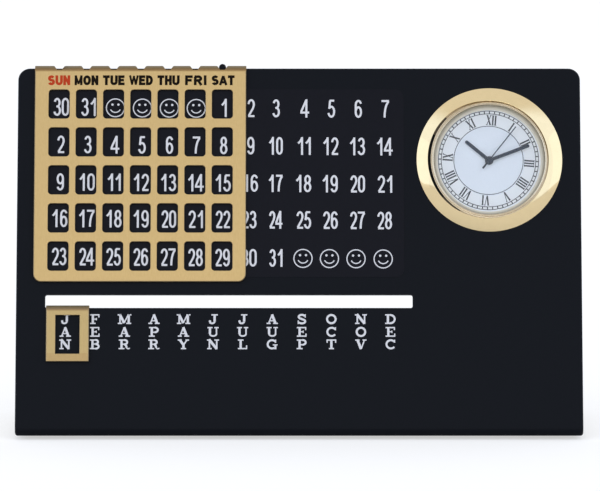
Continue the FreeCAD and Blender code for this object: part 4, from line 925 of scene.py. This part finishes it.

# %% The groove's painted shade
BLACK_WITHIN, BROWN_WITHIN, BEAD_ABOVE = 0.62, 0.10, 0.6
# The black gap, the brown gap and the shaded groove gold are painted shade in the groove; the
# champagne bead is the bead's own colour.
for gap_finish in (
        finish("black_painted_shade_gap", (0.004, 0.004, 0.004), (0.006, 0.006, 0.006), 0.7, specular=0.1),
        finish("polished_champagne_bead", (0.595, 0.503, 0.361), (0.620, 0.528, 0.380), 0.16,
               **POLISHED),
        finish("shaded_groove_gold", (0.300, 0.235, 0.150), (0.330, 0.260, 0.165), 0.3, **POLISHED),
        finish("brown_painted_shade_gap", (0.075, 0.058, 0.036), (0.085, 0.066, 0.042), 0.5, specular=0.2)):
    bezel.data.materials.append(gap_finish)
GOLD, BLACK_SHADE, CHAMPAGNE, SHADED, BROWN_SHADE = range(5)
groove_points = in_groove & (level < LAND_UP - BESIDE_CORNER)
groove_faces = groove_points & np.roll(groove_points, -1, axis=1)
black_shade_faces = groove_faces & (dark > BLACK_WITHIN)
brown_shade_faces = groove_faces & (dark > BROWN_WITHIN)
bead_faces = inside_groove & (level > BEAD_ABOVE)
finishes = np.select([black_shade_faces, brown_shade_faces, groove_faces, bead_faces],
                     [BLACK_SHADE, BROWN_SHADE, SHADED, CHAMPAGNE], GOLD)
bezel.data.polygons.foreach_set("material_index", finishes.reshape(-1).astype(np.int32))
print("groove up to", round(FLANGE_INSIDE + WIDER - GROOVE_FROM + DARK_BACK, 2), "mm wide,",
      int(black_shade_faces.sum()), "dark faces")

# %% [markdown]
# ## Floor and light
# The floor is pale and answers camera rays mostly with its own white, yet keeps a part of the light
# that really reaches it, so the clock's shadow stays. Two soft boxes stand left and right and a
# small one in front, as in a small studio. The world fills the rest: white in the middle, a
# brighter, cooler white towards both sides, which the polished ring mirrors. The camera sees it
# plain white.

# %% Floor
FLOOR_HALF, FLOOR_GLOW, FLOOR_ROUGHNESS = 6.0, 0.55, 0.9
FLOOR_SEEN, FLOOR_MIRRORED = (0.97, 0.96, 0.95, 1.0), (0.84, 0.81, 0.76, 1.0)


def pale_floor():
    """Diffuse pale ground, mixed with plain white for camera rays."""
    material, nodes, links, shader = new_material("pale_floor")
    preset(shader, {"Roughness": FLOOR_ROUGHNESS, "Specular IOR Level": 0.0})
    white = nodes.new("ShaderNodeEmission")
    ray = nodes.new("ShaderNodeLightPath")
    amount = nodes.new("ShaderNodeMath")
    amount.operation = "MULTIPLY"
    amount.inputs[1].default_value = FLOOR_GLOW
    mix = nodes.new("ShaderNodeMixShader")
    tone = colour_mix(nodes, {"A": FLOOR_MIRRORED, "B": FLOOR_SEEN})
    links.new(ray.outputs["Is Camera Ray"], tone.inputs["Factor"])
    links.new(tone.outputs["Result"], shader.inputs["Base Color"])
    links.new(ray.outputs["Is Camera Ray"], amount.inputs[0])
    links.new(amount.outputs["Value"], mix.inputs["Fac"])
    links.new(shader.outputs["BSDF"], mix.inputs[1])
    links.new(white.outputs["Emission"], mix.inputs[2])
    links.new(mix.outputs["Shader"], nodes["Material Output"].inputs["Surface"])
    return material


floor_mesh = bpy.data.meshes.new("floor")
floor_corners = [(side * FLOOR_HALF, depth * FLOOR_HALF, 0)
                 for side, depth in ((-1, -1), (1, -1), (1, 1), (-1, 1))]
floor_mesh.from_pydata(floor_corners, [], [(0, 1, 2, 3)])
floor_mesh.materials.append(pale_floor())
floor = bpy.data.objects.new("floor", floor_mesh)
bpy.context.scene.collection.objects.link(floor)
print("floor of", 2 * FLOOR_HALF, "m")

# %% World
FILL, WHITE, SIDE_COLOUR = 0.95, (1.0, 1.0, 1.0, 1.0), (1.34, 1.50, 1.80, 1.0)
SIDES_TURN = math.radians(31.0)
SIDE_FULL, SIDE_NONE = math.radians(34.0), math.radians(56.0)
world = bpy.data.worlds.new("studio")
bpy.context.scene.world = world
world.use_nodes = True
world_nodes, world_links = world.node_tree.nodes, world.node_tree.links


def world_math(operation, *values):
    """One arithmetic node of the world, fed by other nodes' values."""
    node = world_nodes.new("ShaderNodeMath")
    node.operation = operation
    for place, value in enumerate(values):
        world_links.new(value, node.inputs[place])
    return node.outputs["Value"]


direction = world_nodes.new("ShaderNodeTexCoord")
tilted = preset(world_nodes.new("ShaderNodeMapping"), {"Rotation": (SIDES_TURN, 0.0, 0.0)})
parts = world_nodes.new("ShaderNodeSeparateXYZ")
world_links.new(direction.outputs["Generated"], tilted.inputs["Vector"])
world_links.new(tilted.outputs["Vector"], parts.inputs["Vector"])
steep = world_math("ARCTAN2", world_math("ABSOLUTE", parts.outputs["Z"]),
                   world_math("ABSOLUTE", parts.outputs["X"]))
sides = preset(world_nodes.new("ShaderNodeMapRange"), {
    "From Min": SIDE_FULL, "From Max": SIDE_NONE, "To Min": 1.0, "To Max": 0.0})
sides.interpolation_type = "SMOOTHSTEP"
world_links.new(steep, sides.inputs["Value"])
tones = colour_mix(world_nodes, {"A": WHITE, "B": SIDE_COLOUR})
world_links.new(sides.outputs["Result"], tones.inputs["Factor"])
fill = preset(world_nodes["Background"], {"Strength": FILL})
world_links.new(tones.outputs["Result"], fill.inputs["Color"])
backdrop = preset(world_nodes.new("ShaderNodeBackground"), {"Color": WHITE})
ray = world_nodes.new("ShaderNodeLightPath")
mix = world_nodes.new("ShaderNodeMixShader")
world_links.new(ray.outputs["Is Camera Ray"], mix.inputs["Fac"])
world_links.new(fill.outputs["Background"], mix.inputs[1])
world_links.new(backdrop.outputs["Background"], mix.inputs[2])
world_links.new(mix.outputs["Shader"], world_nodes["World Output"].inputs["Surface"])
print("world with", len(world_nodes), "nodes")

# %% Lamps
def soft_box(name, place, target, wide, high, watts):
    """An area lamp at a place, facing a target."""
    lamp = bpy.data.lights.new(name, "AREA")
    lamp.shape = "RECTANGLE"
    lamp.size, lamp.size_y, lamp.energy = wide, high, watts
    box = bpy.data.objects.new(name, lamp)
    box.location = place
    towards = np.array(target) - np.array(place)
    turn_y = math.atan2(towards[0], towards[1])
    turn_x = math.atan2(towards[2], math.hypot(towards[0], towards[1]))
    box.rotation_euler = (math.pi / 2 + turn_x, 0.0, -turn_y)
    bpy.context.scene.collection.objects.link(box)
    print(name, wide, "x", high, "m,", watts, "W")


CLOCK_MIDDLE = (0.0, 0.0, 0.07)
soft_box("left_box", (-1.3, -0.5, 0.45), CLOCK_MIDDLE, 1.1, 1.0, 0.5)
soft_box("right_box", (1.3, -0.5, 0.45), CLOCK_MIDDLE, 1.1, 1.0, 0.5)
soft_box("front_box", (0.0, -2.0, 0.42), CLOCK_MIDDLE, 0.4, 0.3, 2.0)

# %% Plain colour handling
bpy.context.scene.view_settings.view_transform = "Standard"
